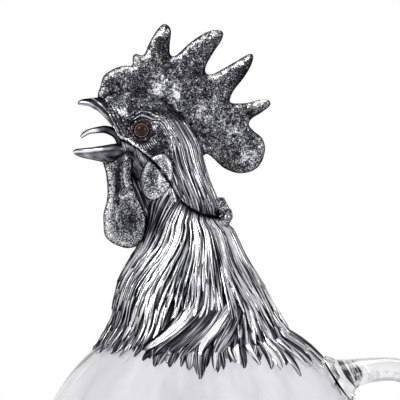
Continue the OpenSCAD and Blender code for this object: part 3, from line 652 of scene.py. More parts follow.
def blade_tones(count, edged, rng):
    """Tones of the seven points of each feather's section: painted light on one side and painted shade on
    the other, the one way round or the other, or, for the share edged, rubbed along both edges."""
    # Painted light and shade across a feather, lit from one side or from the other
    light = np.array([0.30, 0.95, 0.80, 0.42, 0.12, 0.0, 0.0])
    dark = np.array([0.12, 0.36, 0.90, 0.80, 0.34, 0.0, 0.0])
    rimmed = np.array([0.95, 0.22, 0.42, 0.16, 0.85, 0.0, 0.0])
    pick = rng.random(count)[:, None]
    return np.where(pick < edged, rimmed, np.where(pick < (1 + edged) / 2, light, dark))


def barb_places(p, side, rng):
    """Place of each point across its feather and along its rib in steps of 30 mm, with a start of
    its own for each feather."""
    count = len(p)
    step = np.linalg.norm(np.diff(p[:, :, 2], axis=1), axis=-1)
    run = np.concatenate([np.zeros((count, 1)), np.cumsum(step, axis=1)], 1)
    u = (rng.random(count) * 400)[:, None, None] + side
    v = np.broadcast_to((run / 30 + rng.random(count)[:, None] * 90)[..., None], p.shape[:-1])
    return np.stack([np.broadcast_to(u, v.shape), v], -1).reshape(-1, 2)


def blades(name, turn, z, hand, half_w, taper, lift, crown, shine, rng, body, nodes, square=True,
           edged=0.0):
    """Feathers laid on the skin along midribs given as turns and heights, one row for each feather.
    A section is a lens of five points above and two below, with a raised rib; its width follows
    taper, its height follows lift, and shine is how bright each feather is: its polish, with any painted
    shade on it."""
    count, rings = turn.shape
    a = np.radians(turn) * hand[:, None]
    across = np.array([-1, -0.5, 0, 0.5, 1, 0.55, -0.55])
    over = np.array([0, 0.75, 1, 0.75, 0, 0, 0])
    under = np.array([0, 0, 0, 0, 0, 1, 1])
    arm = girth(a, z)
    slant = np.gradient(a, axis=1) * arm / np.minimum(np.gradient(z, axis=1), -0.05)
    stretch = np.sqrt(1 + slant**2) if square else 1
    w = half_w[:, None] * taper * np.clip(stretch, 1, 2.1)
    aa = a[..., None] + across * (w / arm)[..., None]
    zz = z[..., None] + 0 * across
    full = (taper / taper.max())[..., None] * np.ones((count, 1, 1))
    height = lift[..., None] + crown * over * full - 0.5 * under
    seat = 0.45 + 0.5 * (1 - under) + 0.7 * over * full + 0.5 * np.clip(lift[..., None], 0, 3)
    p = off_globe(skin(aa, zz) + height[..., None] * outward(aa, zz), GLOBE_R + seat)
    loop = len(across)
    base = (np.arange(count) * rings * loop)[:, None, None]
    quads = (net(rings, loop, ring=False, tube=True)[0][None] + base).reshape(-1, 4)
    root = (np.arange(loop)[::-1] + base[:, 0]).reshape(-1, loop)
    tip = (np.arange(loop) + (rings - 1) * loop + base[:, 0]).reshape(-1, loop)
    fade = 0.62 + 0.38 * np.sin(np.pi * np.linspace(0.12, 0.96, rings))[None, :]
    polish = blade_tones(count, edged, rng)[:, None, :] * (fade * shine)[..., None]
    uv = barb_places(p, across * w[..., None], rng)
    groups = [quads, root, tip]
    place(name, p, groups, body, "oxidised_silver", FEATHER, nodes, polish, [uv[g] for g in groups])


def neck_painted_shade(x, z):
    """Share of the polish that is left at a place of the neck in the side view: the hollow behind
    the wattle is painted dark as its shade, and the foot of the nape is lighter."""
    # Painted shade in the hollow behind the wattle
    hollow = between(x, -33, -29, -22.5, -19) * between(z, 196, 203, 214, 219)
    nape = ease(-14, 6, x) * ease(186, 176, z)
    breast = ease(-28, -38, x) * ease(164, 156, z)
    slow = 0.4 * nape - 0.06 * ease(176, 188, z) + 0.15 * bump(z, 170, 12) - 0.05 * breast
    return (1 - 0.8 * hollow) * (1 + slow)


def hackle_row(name, rng, count, root, tip, half_w, lift, rings=9, lean=0.0, shine=(0.45, 1.0),
               crown=0.9, blunt=False, root_shade=0.0, span=(0, 180), edged=0.12):
    """One row of hackle feathers on both sides, in the given span of turns. Each runs down the
    flow from its root to its tip, leans to the front by lean degrees and bends to one side.
    A share of painted shade darkens the roots, where the row above covers them, and edged is the share
    that is rubbed along both edges."""
    tau = 1 - (1 - np.linspace(0, 1, rings)[None]) ** (1.7 if blunt else 1.0)
    n = 2 * count
    lot = np.tile(np.arange(count) + 0.5, 2) + rng.uniform(-0.32, 0.32, n)
    end = lot * (span[1] - span[0]) / count + span[0]
    hand = np.repeat([-1.0, 1.0], count)
    first = root + (rng.uniform(0, 0.06, n) if root > 0 else np.zeros(n))
    last = tip + rng.uniform(-0.11 if blunt else -0.06, 0.035, n)
    t = first[:, None] + (last - first)[:, None] * tau
    # Neighbours bend and shine together in locks
    spread = np.broadcast_to(end[:, None] / 17 + 40 * hand[:, None], t.shape)
    lock = grain(np.stack([spread, t * 3.2], -1), 1.0, 77)
    bend = rng.normal(0, 1.8, n)[:, None] * np.sin(np.pi * tau) * min(1, 0.4 + root)
    bend = bend + 9 * (lock - 0.5) * ease(0, 0.35, t)
    sweep = lean * bump(end, 98, 42)[:, None] * (0.8 * (t - root) / max(tip - root, 0.1) - 0.45)
    turn = np.clip(flow(end[:, None], t) + sweep + bend, 0.6, 179.4)
    taper = np.sin(np.pi * (0.14 + 0.82 * tau**0.9)) ** 0.8
    if blunt:
        round_end = np.sqrt(1.01 - np.clip(2.6 * tau - 1.6, 0, 1) ** 2)
        taper = np.sin(np.pi * (0.14 + 0.5 * tau)) ** 0.7 * round_end
    # Under the wattles the roots lie open, so they are kept low, and painted dark as shade under the
    # wattles
    bare = ease(120, 135, end)[:, None]
    rise = lift[0] + (lift[1] - lift[0]) * tau**0.7 + rng.uniform(-0.15, 0.35, n)[:, None] * tau
    rise = rise - bare * (1 - tau) * np.maximum(0.6 * rise, 0.3) - SUNK * ease(0.04, 0.3, t)
    z = collar_z(end[:, None], t)
    # Painted shade: darker roots where the row above covers them and under the wattles, and the hollow
    # behind the wattle; lighter towards the front and the nape
    painted_shade = (1 - root_shade * ease(0.62, 0.3, tau)) * (1 - 0.2 * bare * ease(0.45, 0.05, tau))
    painted_shade = painted_shade * (1 + 0.25 * (ease(115, 150, end) + ease(55, 25, end)))[:, None]
    painted_shade = painted_shade * neck_painted_shade(skin(np.radians(turn), z)[..., 0], z)
    width = half_w * rng.uniform(0.65, 1.35, n)
    rubbed = rng.uniform(*shine, n)
    # Towards the nape, dark and rubbed feathers lie side by side
    apart = (rubbed - sum(shine) / 2) * 1.5 + 0.16 * ease(0.5, 0.8, tip)
    rubbed = rubbed + apart * ease(85, 55, end)
    blades(name, turn, z, hand, width, taper, rise, crown,
           rubbed[:, None] * painted_shade * (0.8 + 0.5 * lock), rng, "jug", ["hackle_collar"], edged=edged)


def hackle_skin():
    """The neck's casting under the feathers: a skin with shallow strands, from the seam down to
    the glass, with a pebbled chin under the beak and a bead along the seam."""
    n, m, inner = 320, 110, 14
    a = 2 * np.pi * np.arange(n) / n
    turn = turn_of(a)
    rim = seam_at(turn) - SEAM_GAP / 2
    notch = ease(180 - MOUTH_A - 7, 180 - MOUTH_A + 3, turn)
    top = (rim * (1 - notch) + np.minimum(bird_z(MOUTH_FLOOR_SHARE), rim) * notch)[:, None]
    share = np.linspace(0, 1, m) ** 0.95
    hem = hem_at(turn)[:, None] + HEM_LAP
    z = hem + (top - hem) * share
    aa = a[:, None] + 0 * z
    streaks = strands(aa, z, 26, 16, 1.1, 5)
    edge = ease(0, 0.05, share) * ease(1, 0.97, share)
    sunk = SUNK * ease(0.04, 0.3, 1 - share)
    outer = cast(aa, z, (streaks - 0.6) * 0.7 * edge - 0.9 * sunk, 1.0)
    share_in = np.linspace(1, 0, inner)
    z_in = hem + (top - hem) * share_in
    sunk_in = SUNK * ease(0.04, 0.3, 1 - share_in)
    inside = cast(a[:, None] + 0 * z_in, z_in, -CAST_T - 0.65 * sunk_in + 0 * z_in, 0.3)
    points = np.concatenate([outer, inside], 1)
    depth = top - z
    throat = ease(90, 125, turn)[:, None] * ease(0.35, 0.6, share)[None]
    chin = ease(98, 108, turn)[:, None] * ease(229, 234, z)
    cheek = bump(turn, 94, 9)[:, None] * ease(16, 6, depth)
    bead = bump(depth, 1.6, 0.8) * ease(120, 135, turn)[:, None]
    tone = (0.20 + 0.42 * streaks) * (1 - 0.45 * throat) * (1 - chin)
    tone = tone + chin * (0.22 + 0.34 * pebbles(outer, 1.3, 23))
    tone = tone + 0.4 * bead + 0.5 * cheek * (0.4 + streaks)
    # The skin is painted dark in the last 0.6 mm under the seam, as shade in the gap under the lid
    polish = np.concatenate([tone * ease(0.1, 0.6, depth), np.full(z_in.shape, INSIDE_POLISH)], 1)
    faces, places = net(n, m + inner, tube=True)
    place("hackle_skin", points, faces, "jug", "oxidised_silver", FEATHER, ["hackle_collar"], polish,
          [places * np.array([180.0, 7.0])])


def hackle_feathers():
    """Ten rows of feathers over the neck's skin, seven from the hem up to the seam and three of
    broad ones over them, and those of the throat."""
    rng = np.random.default_rng(7)
    hackle_row("hackle_hem_under", rng, 40, 0.66, 1.02, 2.1, (-0.4, 0.6), rings=16, lean=16,
               shine=(0.35, 0.9), blunt=True, edged=0.7)
    hackle_row("hackle_hem", rng, 32, 0.58, 1.01, 2.4, (-0.5, 1.5), rings=16, lean=26,
               shine=(0.45, 1.35), blunt=True, root_shade=0.35, edged=0.7)
    hackle_row("hackle_skirt", rng, 34, 0.46, 0.90, 2.1, (-0.5, 1.9), rings=12, lean=20,
               shine=(0.5, 1.15), root_shade=0.35, edged=0.3)
    hackle_row("hackle_breast", rng, 44, 0.32, 0.78, 1.25, (-0.5, 2.1), lean=14, shine=(0.55, 1.2),
               root_shade=0.2)
    hackle_row("hackle_middle", rng, 50, 0.18, 0.66, 1.05, (-0.5, 2.1), lean=6, shine=(0.55, 1.2))
    hackle_row("hackle_upper", rng, 54, 0.06, 0.52, 0.9, (-0.4, 2.0), shine=(0.6, 1.2))
    hackle_row("hackle_top", rng, 58, 0.0, 0.42, 0.8, (0.25, 1.7), shine=(0.6, 1.2))
    hackle_row("hackle_tips", rng, 15, 0.72, 0.99, 2.4, (0.6, 2.0), rings=14, lean=8,
               shine=(0.6, 1.2), crown=0.8, span=(4, 178), edged=0.85)
    hackle_row("hackle_leaf", rng, 1, 0.76, 1.06, 4.6, (0.9, 2.2), rings=14, lean=10,
               shine=(0.7, 0.8), span=(86, 92), edged=1.0)
    hackle_row("hackle_lancets", rng, 6, 0.55, 0.95, 3.8, (0.9, 2.9), rings=16, lean=44,
               shine=(0.72, 1.05), crown=0.8, root_shade=0.3, span=(66, 112), edged=0.85)
    throat_feathers(rng)


def throat_feathers(rng):
    """Dark feathers between the wattles and the hackle, from the seam down the throat."""
    count, rings = 50, 8
    n = 2 * count
    tau = np.linspace(0, 1, rings)[None]
    start = 89 + 89 * np.tile(np.linspace(0, 1, count) ** 1.3, 2) + rng.uniform(-1.5, 1.5, n)
    hand = np.repeat([-1.0, 1.0], count)
    low = 196 + rng.uniform(-5, 6, n)
    high = np.minimum(seam_at(start) - SEAM_GAP / 2 - 0.4, 231) - rng.uniform(0, 7, n) * (start > 105)
    height = high[:, None] + (low - high)[:, None] * tau
    beside = ease(114, 106, start)[:, None]
    turn = np.clip(start[:, None] + (rng.normal(0, 3, n)[:, None] + 12 * beside) * tau, 1, 179)
    taper = np.sin(np.pi * (0.2 + 0.76 * tau)) ** 0.8
    lift = 0.1 + 0.7 * tau - 0.8 * SUNK * ease(0.08, 0.6, tau) + 0 * turn
    blades("throat_feathers", turn, height, hand, rng.uniform(0.9, 1.5, n), taper, lift, 0.5,
           rng.uniform(0.2, 0.65, n)[:, None] + 0.5 * beside, rng, "jug", ["hackle_collar"])


# Head
def eye_marks(x, up):
    """Marks round the eye, each from 0 to 1, by the place from the eye's middle: curved ridges over
    and behind it, the painted shade under the brow, short strokes under it, its corner, where a highlight
    is painted, and its socket."""
    d = np.hypot(x, up)
    way = np.degrees(np.arctan2(up, x))
    # The ridges lie on arcs round a point 10 mm under the eye, and sway a little
    arc_r = np.hypot((x - 1) / 0.88, up + 10)
    arc_way = np.degrees(np.arctan2(up + 10, (x - 1) / 0.88))
    sway = 2.2 * (grain(np.stack([x, up], -1), 5.0, 41) - 0.5)
    waves = (0.5 + 0.5 * np.cos(2 * np.pi * (arc_r + sway - ARC_R) / ARC_PITCH)) ** 2.4
    ridges = waves * between(arc_r, 15.0, 15.7, 18.5, 21.0) * between(arc_way, -30, 5, 96, 128)
    ridges = ridges * ease(4.9, 5.6, d)
    # Painted shade under the brow
    brow = ease(23, 19, arc_r) * between(arc_way, -30, 0, 115, 150) * ease(4.5, 5.5, d)
    below = between(way, -135, -110, -45, -25)
    strokes = (0.5 + 0.5 * np.cos((x + 0.6 * up) * 5.2)) ** 2 * bump(d, 8.3, 1.7) * below
    # Painted highlight at the eye's corner, which the head also raises a little
    corner = bump(x, 6.3, 1.6) * bump(up, 1.8, 1.9)
    socket = ease(6.0, 4.9, d) * (1 - 0.7 * ease(1.5, 4.5, x))
    return ridges, brow, strokes, corner, socket


def close_crown(points, m, polish):
    """Points, faces and polish of a skin whose columns run m points up outside and the rest down
    inside, with the crown's small opening closed above and below by a point."""
    n, total = points.shape[:2]
    faces, _ = net(n, total, tube=True)
    keep = ~(np.any(faces % total == m - 1, 1) & np.any(faces % total == m, 1))
    outer_ring, inner_ring = np.arange(n) * total + m - 1, np.arange(n) * total + m
    groups = [faces[keep], fan(outer_ring, n * total)[:, ::-1], fan(inner_ring, n * total + 1)]
    poles = [points[:, m - 1].mean(0) + [0, 0, 0.1], points[:, m].mean(0)]
    return (np.concatenate([points.reshape(-1, 3), poles]), groups,
            np.concatenate([polish.ravel(), [0.2, INSIDE_POLISH]]))


def head():
    """The lid's casting: a skin from the seam to the crown, pebbled on the face, with curved
    ridges over and behind the eye, short strokes under it, and strands down to the seam."""
    n, m, inner = 420, 170, 12
    crown, roof = bird_z(CROWN_SHARE), bird_z(MOUTH_ROOF_SHARE)
    a = 2 * np.pi * np.arange(n) / n
    turn = turn_of(a)
    seam = seam_at(turn) + SEAM_GAP / 2
    notch = ease(180 - MOUTH_A - 8, 180 - MOUTH_A + 2, turn)
    low = (seam + (roof - seam) * notch)[:, None]
    share = np.linspace(0, 1, m)
    z = low + (crown - low) * share
    aa = a[:, None] + 0 * z
    bare = skin(aa, z)
    face = np.maximum(ease(72, 104, turn)[:, None] + 0 * z, ease(crown - 16, crown - 8, z))
    stone = pebbles(bare, 1.15, 11)
    streaks = strands(aa, z, 18, 14, 0.9, 3)
    x, up = bare[..., 0] - EYE_AT[0], bare[..., 2] - EYE_AT[1]
    ridges, brow, strokes, corner, socket = eye_marks(x, up)
    front = ease(112, 135, turn)[:, None] * ease(crown - 5, crown - 12, z)
    front = front * ease(7, 10, np.hypot(x, up))
    lores = (0.5 + 0.5 * np.sin((x * 0.9 + up * 0.45) * 3.9)) ** 3 * front
    hem_line = bump(z - low, 1.5, 0.8) * ease(100, 118, turn)[:, None]
    relief = face * 0.4 * (stone - 0.5) * (1 - socket) + (1 - face) * 0.5 * (streaks - 0.6)
    relief = relief + 0.6 * ridges + 0.4 * strokes + 0.3 * lores
    relief = relief - 0.35 * socket + 0.4 * corner + 0.3 * hem_line
    outer = cast(aa, z, relief * ease(0, 0.02, share), 0)
    # The face is rubbed in patches, painted dark under the brow as shade, and painted bright along a line
    # by the beak's root as a highlight
    patches = grain(bare, 5.5, 21)
    brim = ease(crown - 16, crown - 9, z) + ease(crown - 6, crown - 3, z)
    ledge = bump(z, 260.5 - 0.55 * (bare[..., 0] + 40), 1.8)
    painted_highlight = bump(bare[..., 0], -40, 5) * ledge * (0.4 + stone)
    polish = face * (0.20 + 0.14 * stone + 0.4 * (patches - 0.5) + 0.09 * brim)
    polish = polish * (1 - 0.4 * front) * (1 - 0.85 * brow) + (1 - face) * (0.1 + 0.4 * streaks)
    # The eye's corner is painted with a highlight
    polish = polish + 0.62 * ridges + 0.8 * strokes + 0.4 * lores - 0.4 * socket + 0.6 * corner
    # The lid's lower edge is painted dark within 0.7 mm of the seam, as shade in the gap
    polish = polish + 0.5 * hem_line + 0.4 * painted_highlight - 0.5 * ease(0.7, 0.2, z - low)
    z_in = low + (crown - low) * np.linspace(1, 0, inner)
    inside = cast(a[:, None] + 0 * z_in, z_in, np.full(z_in.shape, -CAST_T), 0)
    points = np.concatenate([outer, inside], 1)
    polish = np.concatenate([np.clip(polish, 0, 1), np.full(z_in.shape, INSIDE_POLISH)], 1)
    points, groups, polish = close_crown(points, m, polish)
    place("head_skin", points, groups, "head_lid", "oxidised_silver", PEBBLED, ["head_shell"], polish)


def head_feathers():
    """Three rows of thin feathers on the back of the head, each over a share of the height
    between the seam and the crown."""
    rng = np.random.default_rng(19)
    tau = np.linspace(0, 1, 9)[None]
    for name, count, reach, span, half_w, lift, shine in (
            ("head_feathers_low", 72, (0.0, 0.62), (1, 93), 0.68, (-0.3, 0.7), (0.22, 0.82)),
            ("head_feathers_middle", 70, (0.05, 0.8), (1, 90), 0.62, (-0.3, 1.0), (0.3, 0.92)),
            ("head_feathers_high", 62, (0.42, 1.0), (1, 84), 0.58, (-0.3, 0.9), (0.35, 1.05))):
        n = 2 * count
        start = np.tile(np.linspace(*span, count), 2) + rng.uniform(-1, 1, n)
        hand = np.repeat([-1.0, 1.0], count)
        foot = seam_at(start) + SEAM_GAP / 2 + 0.5
        length = HEAD_FEATHERS_TOP - 23 * ease(56, 80, start) - foot
        bottom = foot + length * reach[0] * rng.uniform(0.4, 1.0, n)
        top = foot + length * (reach[1] - rng.uniform(0, 0.16, n))
        height = top[:, None] + (bottom - top)[:, None] * tau
        sway = rng.normal(0, 1.6, n)[:, None] * np.sin(np.pi * tau)
        turn = np.clip(start[:, None] + sway, 0.5, 96)
        # Feathers that end on the seam stay wide there, and the others come to a point
        narrow = 0.5 if reach[0] == 0 else 0.84
        taper = np.sin(np.pi * (0.12 + narrow * tau)) ** 0.8
        rise = lift[0] + (lift[1] - lift[0]) * tau**0.8 + 0 * turn
        width = half_w * rng.uniform(0.8, 1.25, n)
        rubbed = rng.uniform(*shine, n) * (1 - 0.3 * ease(62, 80, start))
        blades(name, turn, height, hand, width, taper, rise, 0.6, rubbed[:, None], rng, "head_lid",
               ["head_shell"], square=False)


# Cast plates
def smooth_outline(shares, steps):
    """Closed Catmull-Rom curve through the outline's points, in millimetres in the side view."""
    ring = np.concatenate([shares[-2:], shares, shares[:3]])
    s = 2 + len(shares) * np.arange(steps) / steps
    return np.array([0, SHOULDER_Z]) + np.array([BIRD_L, BIRD_H]) * along(ring, s)


def inside_of(points, outline):
    """Whether each point lies in the outline, by counting its crossings of a level ray."""
    px, pz = points[:, 0, None], points[:, 1, None]
    x0, z0 = outline[:, 0], outline[:, 1]
    x1, z1 = np.roll(x0, -1), np.roll(z0, -1)
    cut = (z0 > pz) != (z1 > pz)
    rise = np.where(z1 == z0, 1e-9, z1 - z0)
    return np.sum(cut & (px < x0 + (pz - z0) * (x1 - x0) / rise), axis=1) % 2 == 1


def to_outline(points, outline):
    """Distance of each point to the outline, and the nearest point of it."""
    start, leg = outline, np.roll(outline, -1, 0) - outline
    size = np.maximum((leg**2).sum(1), 1e-12)
    rel = points[:, None] - start[None]
    t = np.clip((rel * leg).sum(-1) / size, 0, 1)
    near = start[None] + t[..., None] * leg
    d = np.linalg.norm(points[:, None] - near, axis=-1)
    best = d.argmin(1)
    rows = np.arange(len(points))
    return d[rows, best], near[rows, best]


def plate(name, outline, pitch, sides, body, slot, material, nodes, polish_of):
    """Cast plate over a net in the side view, cut to the outline: the net's edge is drawn onto the
    outline. sides gives the place across the bird of both faces from the point, its distance to
    the outline and whether it lies on it, and polish_of gives the polish from the point, that
    distance and the outline's nearest point."""
    low, high = outline.min(0) - pitch, outline.max(0) + pitch
    count = np.ceil((high - low) / pitch).astype(int) + 1
    gx, gz = np.meshgrid(np.arange(count[0]), np.arange(count[1]), indexing="ij")
    flat = np.stack([low[0] + gx * pitch, low[1] + gz * pitch], -1).reshape(-1, 2)
    cells, _ = net(count[0], count[1], ring=False)
    middle = flat[cells].mean(1)
    cells = cells[np.concatenate([inside_of(part, outline) for part in np.array_split(middle, 12)])]
    used, cells = np.unique(cells, return_inverse=True)
    cells = cells.reshape(-1, 4)
    flat = flat[used]
    sides_of = np.concatenate([cells[:, [k, (k + 1) % 4]] for k in range(4)])
    _, first, counts = np.unique(np.sort(sides_of, 1), axis=0, return_index=True, return_counts=True)
    rim_pairs = sides_of[first[counts == 1]]
    rim = np.zeros(len(flat), bool)
    rim[rim_pairs.ravel()] = True
    parts = [to_outline(part, outline) for part in np.array_split(flat, 12)]
    d = np.concatenate([part[0] for part in parts])
    near = np.concatenate([part[1] for part in parts])
    flat = np.where(rim[:, None], near, flat)
    d = np.where(rim, 0, d)
    left, right = sides(flat, d, rim)
    n = len(flat)
    points = np.concatenate([np.stack([flat[:, 0], left, flat[:, 1]], -1),
                             np.stack([flat[:, 0], right, flat[:, 1]], -1)])
    p, q = rim_pairs[:, 0], rim_pairs[:, 1]
    groups = [cells, cells[:, ::-1] + n, np.stack([q, p, p + n, q + n], -1)]
    polish = polish_of(flat, d, near)
    place(name, points, groups, body, slot, material, nodes, np.concatenate([polish, polish]))


def edgeward(flat, d, near):
    """Direction in the side view from each point to the outline."""
    return (near - flat) / np.maximum(d, 0.05)[:, None]


def comb_plate():
    """Comb: a plate that swells over 5.5 mm from its edge, with a pebbled skin and an edge painted bright
    as a highlight, most where it faces up and to the front.
    """

    def face(flat, d, stone_seed, dent_seed):
        """Half thickness up to one face, with pebbles and slow dents of its own."""
        half = 0.18 + (COMB_T / 2 - 0.4) * rounded(d, 5.5)
        stone = 0.5 * (stones(flat, 1.35, stone_seed) - 0.35)
        dent = 0.9 * (grain(flat, 7.0, dent_seed) - 0.5) * ease(1, 6, d)
        return half + ease(0, 1.5, d) * (stone + dent)

    def sides(flat, d, rim):
        """Both faces, to the left and right of the bird's middle."""
        return -face(flat, d, 31, 41), face(flat, d, 32, 42)

    def polish(flat, d, near):
        """Dark pebbles with grey patches and rubbed spots on the spikes; edges and the spikes' flanks that
        face up and to the front are painted bright as light, and flanks that face away painted darker as
        shade.
        """
        stone = stones(flat, 1.35, 31)
        patch = grain(flat, 7.5, 51) - 0.5
        away = edgeward(flat, d, near)
        # Painted light: edges that face up and to the front are lit
        painted_light = np.clip(0.25 + 0.85 * (0.5 * away[:, 1] - 0.85 * away[:, 0]), 0, 1)
        rubbed = 0.9 * spot(flat, -22.5 + 0.35 * (flat[:, 1] - 271), 271, 3.6, 8)
        for much, x, z, half_x, half_z in (
                (1, -13.5, 267.5, 3, 7.5), (0.7, 0, 260, 4, 5), (0.5, -40, 271, 2.5, 4),
                (0.5, 17, 251, 4, 3), (0.6, 22, 238, 4, 4), (0.7, -19.5, 301, 2.5, 3),
                (0.6, 7, 300.5, 3.5, 2), (0.7, 31.5, 265, 3, 2)):
            rubbed = rubbed + much * spot(flat, x, z, half_x, half_z)
        # Painted light and shade on the spikes' flanks
        painted_flank = (painted_light - 0.42) * ease(5.5, 1.2, d) * ease(262, 274, flat[:, 1] + 0.35 * flat[:, 0])
        tone = 0.27 - 0.14 * spot(flat, -11, 283, 12, 7) + 0.12 * stone + 0.3 * patch
        tone = tone + 0.42 * rubbed * (0.3 + 1.3 * stone) + 0.3 * painted_flank * (0.6 + stone)
        tone = tone + (0.04 + 0.26 * painted_light) * bump(d, 1.3, 0.7) * (0.5 + stone)
        return np.clip(tone * ease(-0.4, 0.6, d), 0.05, 1)

    plate("comb_plate", smooth_outline(COMB_SHARES, 420), 0.52, sides, "head_lid", "dark_silver",
          PEBBLED, ["comb"], polish)


def wattle_plate(hand, name, node):
    """Wattle: a leaf with a thick rolled rim, hollowed between with slow folds down its length."""

    def folds(flat, d):
        """Folds from -1 to 1: a ridge that runs down and turns back, over a round hollow."""
        x, z = flat[:, 0], flat[:, 1]
        ridge_x = np.interp(z, [215, 219, 227, 235, 243], [-35, -36, -39, -38.6, -38])
        ridge = bump(x, ridge_x, 0.8) * ease(216, 220, z)
        shelf = bump(z, 218.5 + 0.05 * (x + 40) ** 2, 1.1) * bump(x, -39.5, 3.6)
        valley_x = np.interp(z, [205, 220, 240], [-43.5, -42.8, -41.5])
        valley = bump(x, valley_x, 1.3) * ease(214, 219, z)
        bowl = 0.8 * spot(flat, -37.0, 206.5, 3.4, 4.6)
        return np.clip(0.8 * (ridge + shelf) - 0.8 * valley - bowl, -1, 1) * ease(0.4, 2.4, d)

    def sides(flat, d, rim):
        """Half the thickness to each side of the wattle's own plane, swollen by rim and folds."""
        half = 0.15 + (WATTLE_T / 2 - 0.5) * rounded(d, 2.3) + 0.75 * folds(flat, d)
        half = half + 0.25 * (stones(flat, 1.25, 62) - 0.5) * ease(0, 1, d)
        half = np.clip(half, 0.15, WATTLE_T / 2)
        return hand * WATTLE_Y - half, hand * WATTLE_Y + half

    def polish(flat, d, near):
        """Bright on the folds, painted light on the front of the rim, and dark at the edge and the root.
        """
        # Painted light on edges that face the front
        painted_light = np.clip(0.4 - 0.75 * edgeward(flat, d, near)[:, 0], 0, 1)
        tone = 0.39 - 0.1 * ease(212, 222, flat[:, 1]) + 0.07 * stones(flat, 1.25, 62)
        tone = tone + 0.38 * folds(flat, d) + (0.02 + 0.3 * painted_light) * bump(d, 2.2, 1.5)
        root = ease(233, 241, flat[:, 1])
        return np.clip(tone * ease(-0.5, 0.5, d) * (1 - 0.6 * root), 0.05, 1)

    plate(name, smooth_outline(WATTLE_SHARES, 260), 0.5, sides, "jug", "dark_silver", PEBBLED,
          [node], polish)


def lobe_plate(hand, above, name, node):
    """Part of an ear lobe on one side of the seam: an ellipse leant back, cut along the seam,
    that swells from the cheek with a rolled rim round a shallow hollow."""
    a = 2 * np.pi * np.arange(240) / 240
    lean = math.radians(LOBE_LEAN_A)
    u, v = LOBE_W / 2 * np.cos(a), LOBE_L / 2 * np.sin(a)
    ring = np.stack([LOBE_AT[0] + u * math.cos(lean) + v * math.sin(lean),
                     LOBE_AT[1] - u * math.sin(lean) + v * math.cos(lean)], -1)
    gap = SEAM_GAP / 2 * (1 if above else -1)
    over = ring[:, 1] - seam_over(ring[:, 0]) - gap
    kept = over > 0 if above else over < 0
    start = int(np.argmax(kept & ~np.roll(kept, 1)))
    run = np.roll(ring, -start, 0)[: int(kept.sum())]
    x = np.linspace(run[-1, 0], run[0, 0], 30)[1:-1]
    outline = np.concatenate([run, np.stack([x, seam_over(x) + gap], -1)])

    def sides(flat, d, rim):
        """From just under the cheek's skin out to a rolled rim and the dish inside it."""
        deep = to_outline(flat, ring)[0]
        dish = LOBE_H * rounded(deep, 2.6) * (1 - 0.38 * ease(2.4, 5.0, deep))
        rise = np.where(rim, 0.0, dish + 0.3 * (stones(flat, 1.2, 71) - 0.5))
        cheek = cheek_y(flat[:, 0], flat[:, 1])
        out, back = hand * (cheek + rise), hand * (cheek - LOBE_SOLDER)
        return (out, back) if hand < 0 else (back, out)

    def polish(flat, d, near):
        """Bright on the rim and a ledge, dark in the hollow, and painted dark along the seam as shade in
        its gap.
        """
        deep = to_outline(flat, ring)[0]
        lip = ease(0.2, 1.5, np.abs(flat[:, 1] - seam_over(flat[:, 0])) - SEAM_GAP / 2)
        hollow = spot(flat, LOBE_AT[0] - 2.4, LOBE_AT[1] - 0.5, 1.7, 5.4)
        ledge = spot(flat, LOBE_AT[0] + 1.4, LOBE_AT[1] - 1, 0.9, 4.0)
        tone = 0.47 + 0.08 * stones(flat, 1.2, 71) + 0.2 * bump(deep, 1.6, 0.9)
        tone = tone - 0.26 * hollow + 0.34 * ledge
        # Painted shade within 1.5 mm of the seam
        return np.clip(tone * ease(-0.5, 0.5, deep) - 0.4 * (1 - lip), 0, 1)

    plate(name, outline, 0.45, sides, "head_lid" if above else "jug", "dark_silver", PEBBLED,
          [node], polish)


# Beaks, tongue and eyes
def sections(name, points, body, slot, material, node, polish):
    """Closed skin over a row of closed sections, each joined to the next, with its first and
    last sections closed to their middles."""
    flat = np.concatenate([points.reshape(-1, 3), points[[0, -1]].mean(1)])
    place(name, flat, tube_faces(*points.shape[:2]), body, slot, material, [node],
          np.concatenate([polish.ravel(), polish[[0, -1]].mean(1)]))


def beak_lines(table, rings):
    """Place along the bird, top, bottom and half width of a beak's sections, as columns."""
    row = carried(table, rings)
    return BIRD_L * row[:, :1], bird_z(row[:, 1:2]), bird_z(row[:, 2:3]), BEAK_W / 2 * row[:, 3:]


def upper_beak():
    """Upper beak: each section is an arch, full at the cutting edge and round on top, over a
    hollow palate; its edge and ridge are painted bright as highlights and its sides painted dark as shade."""
    rings = 60
    x, top, low, half = beak_lines(UPPER_BEAK_SHARES, rings)
    a = np.linspace(0, np.pi, 57)
    y = -half * np.cos(a)
    z = low + (top - low) * np.sin(a) ** 0.62
    palate_w = 0.82
    back = np.linspace(palate_w, -palate_w, 9)
    z_in = low + (top - low) * 0.42 * (1 - (back / palate_w) ** 2) ** 0.7 + 0.05
    points = np.stack([np.broadcast_to(x, (rings, len(a) + len(back))),
                       np.concatenate([y, half * back], 1), np.concatenate([z, z_in], 1)], -1)
    above = z - low
    # Painted light and shade by the height over the edge: bright bands as highlights, dark sides as shade
    shade = 0.14 + 0.52 * ease(2.5, 1.6, above) - 0.3 * bump(above, 0.9, 0.25)
    shade = shade + 0.46 * bump(above, 4.6, 0.4) - 0.1 * bump(above, 0, 0.15)
    polish = np.concatenate([shade, np.full(z_in.shape, 0.12)], 1)
    sections("upper_beak_arch", points, "head_lid", "oxidised_silver", BURNISHED, "upper_beak", polish)


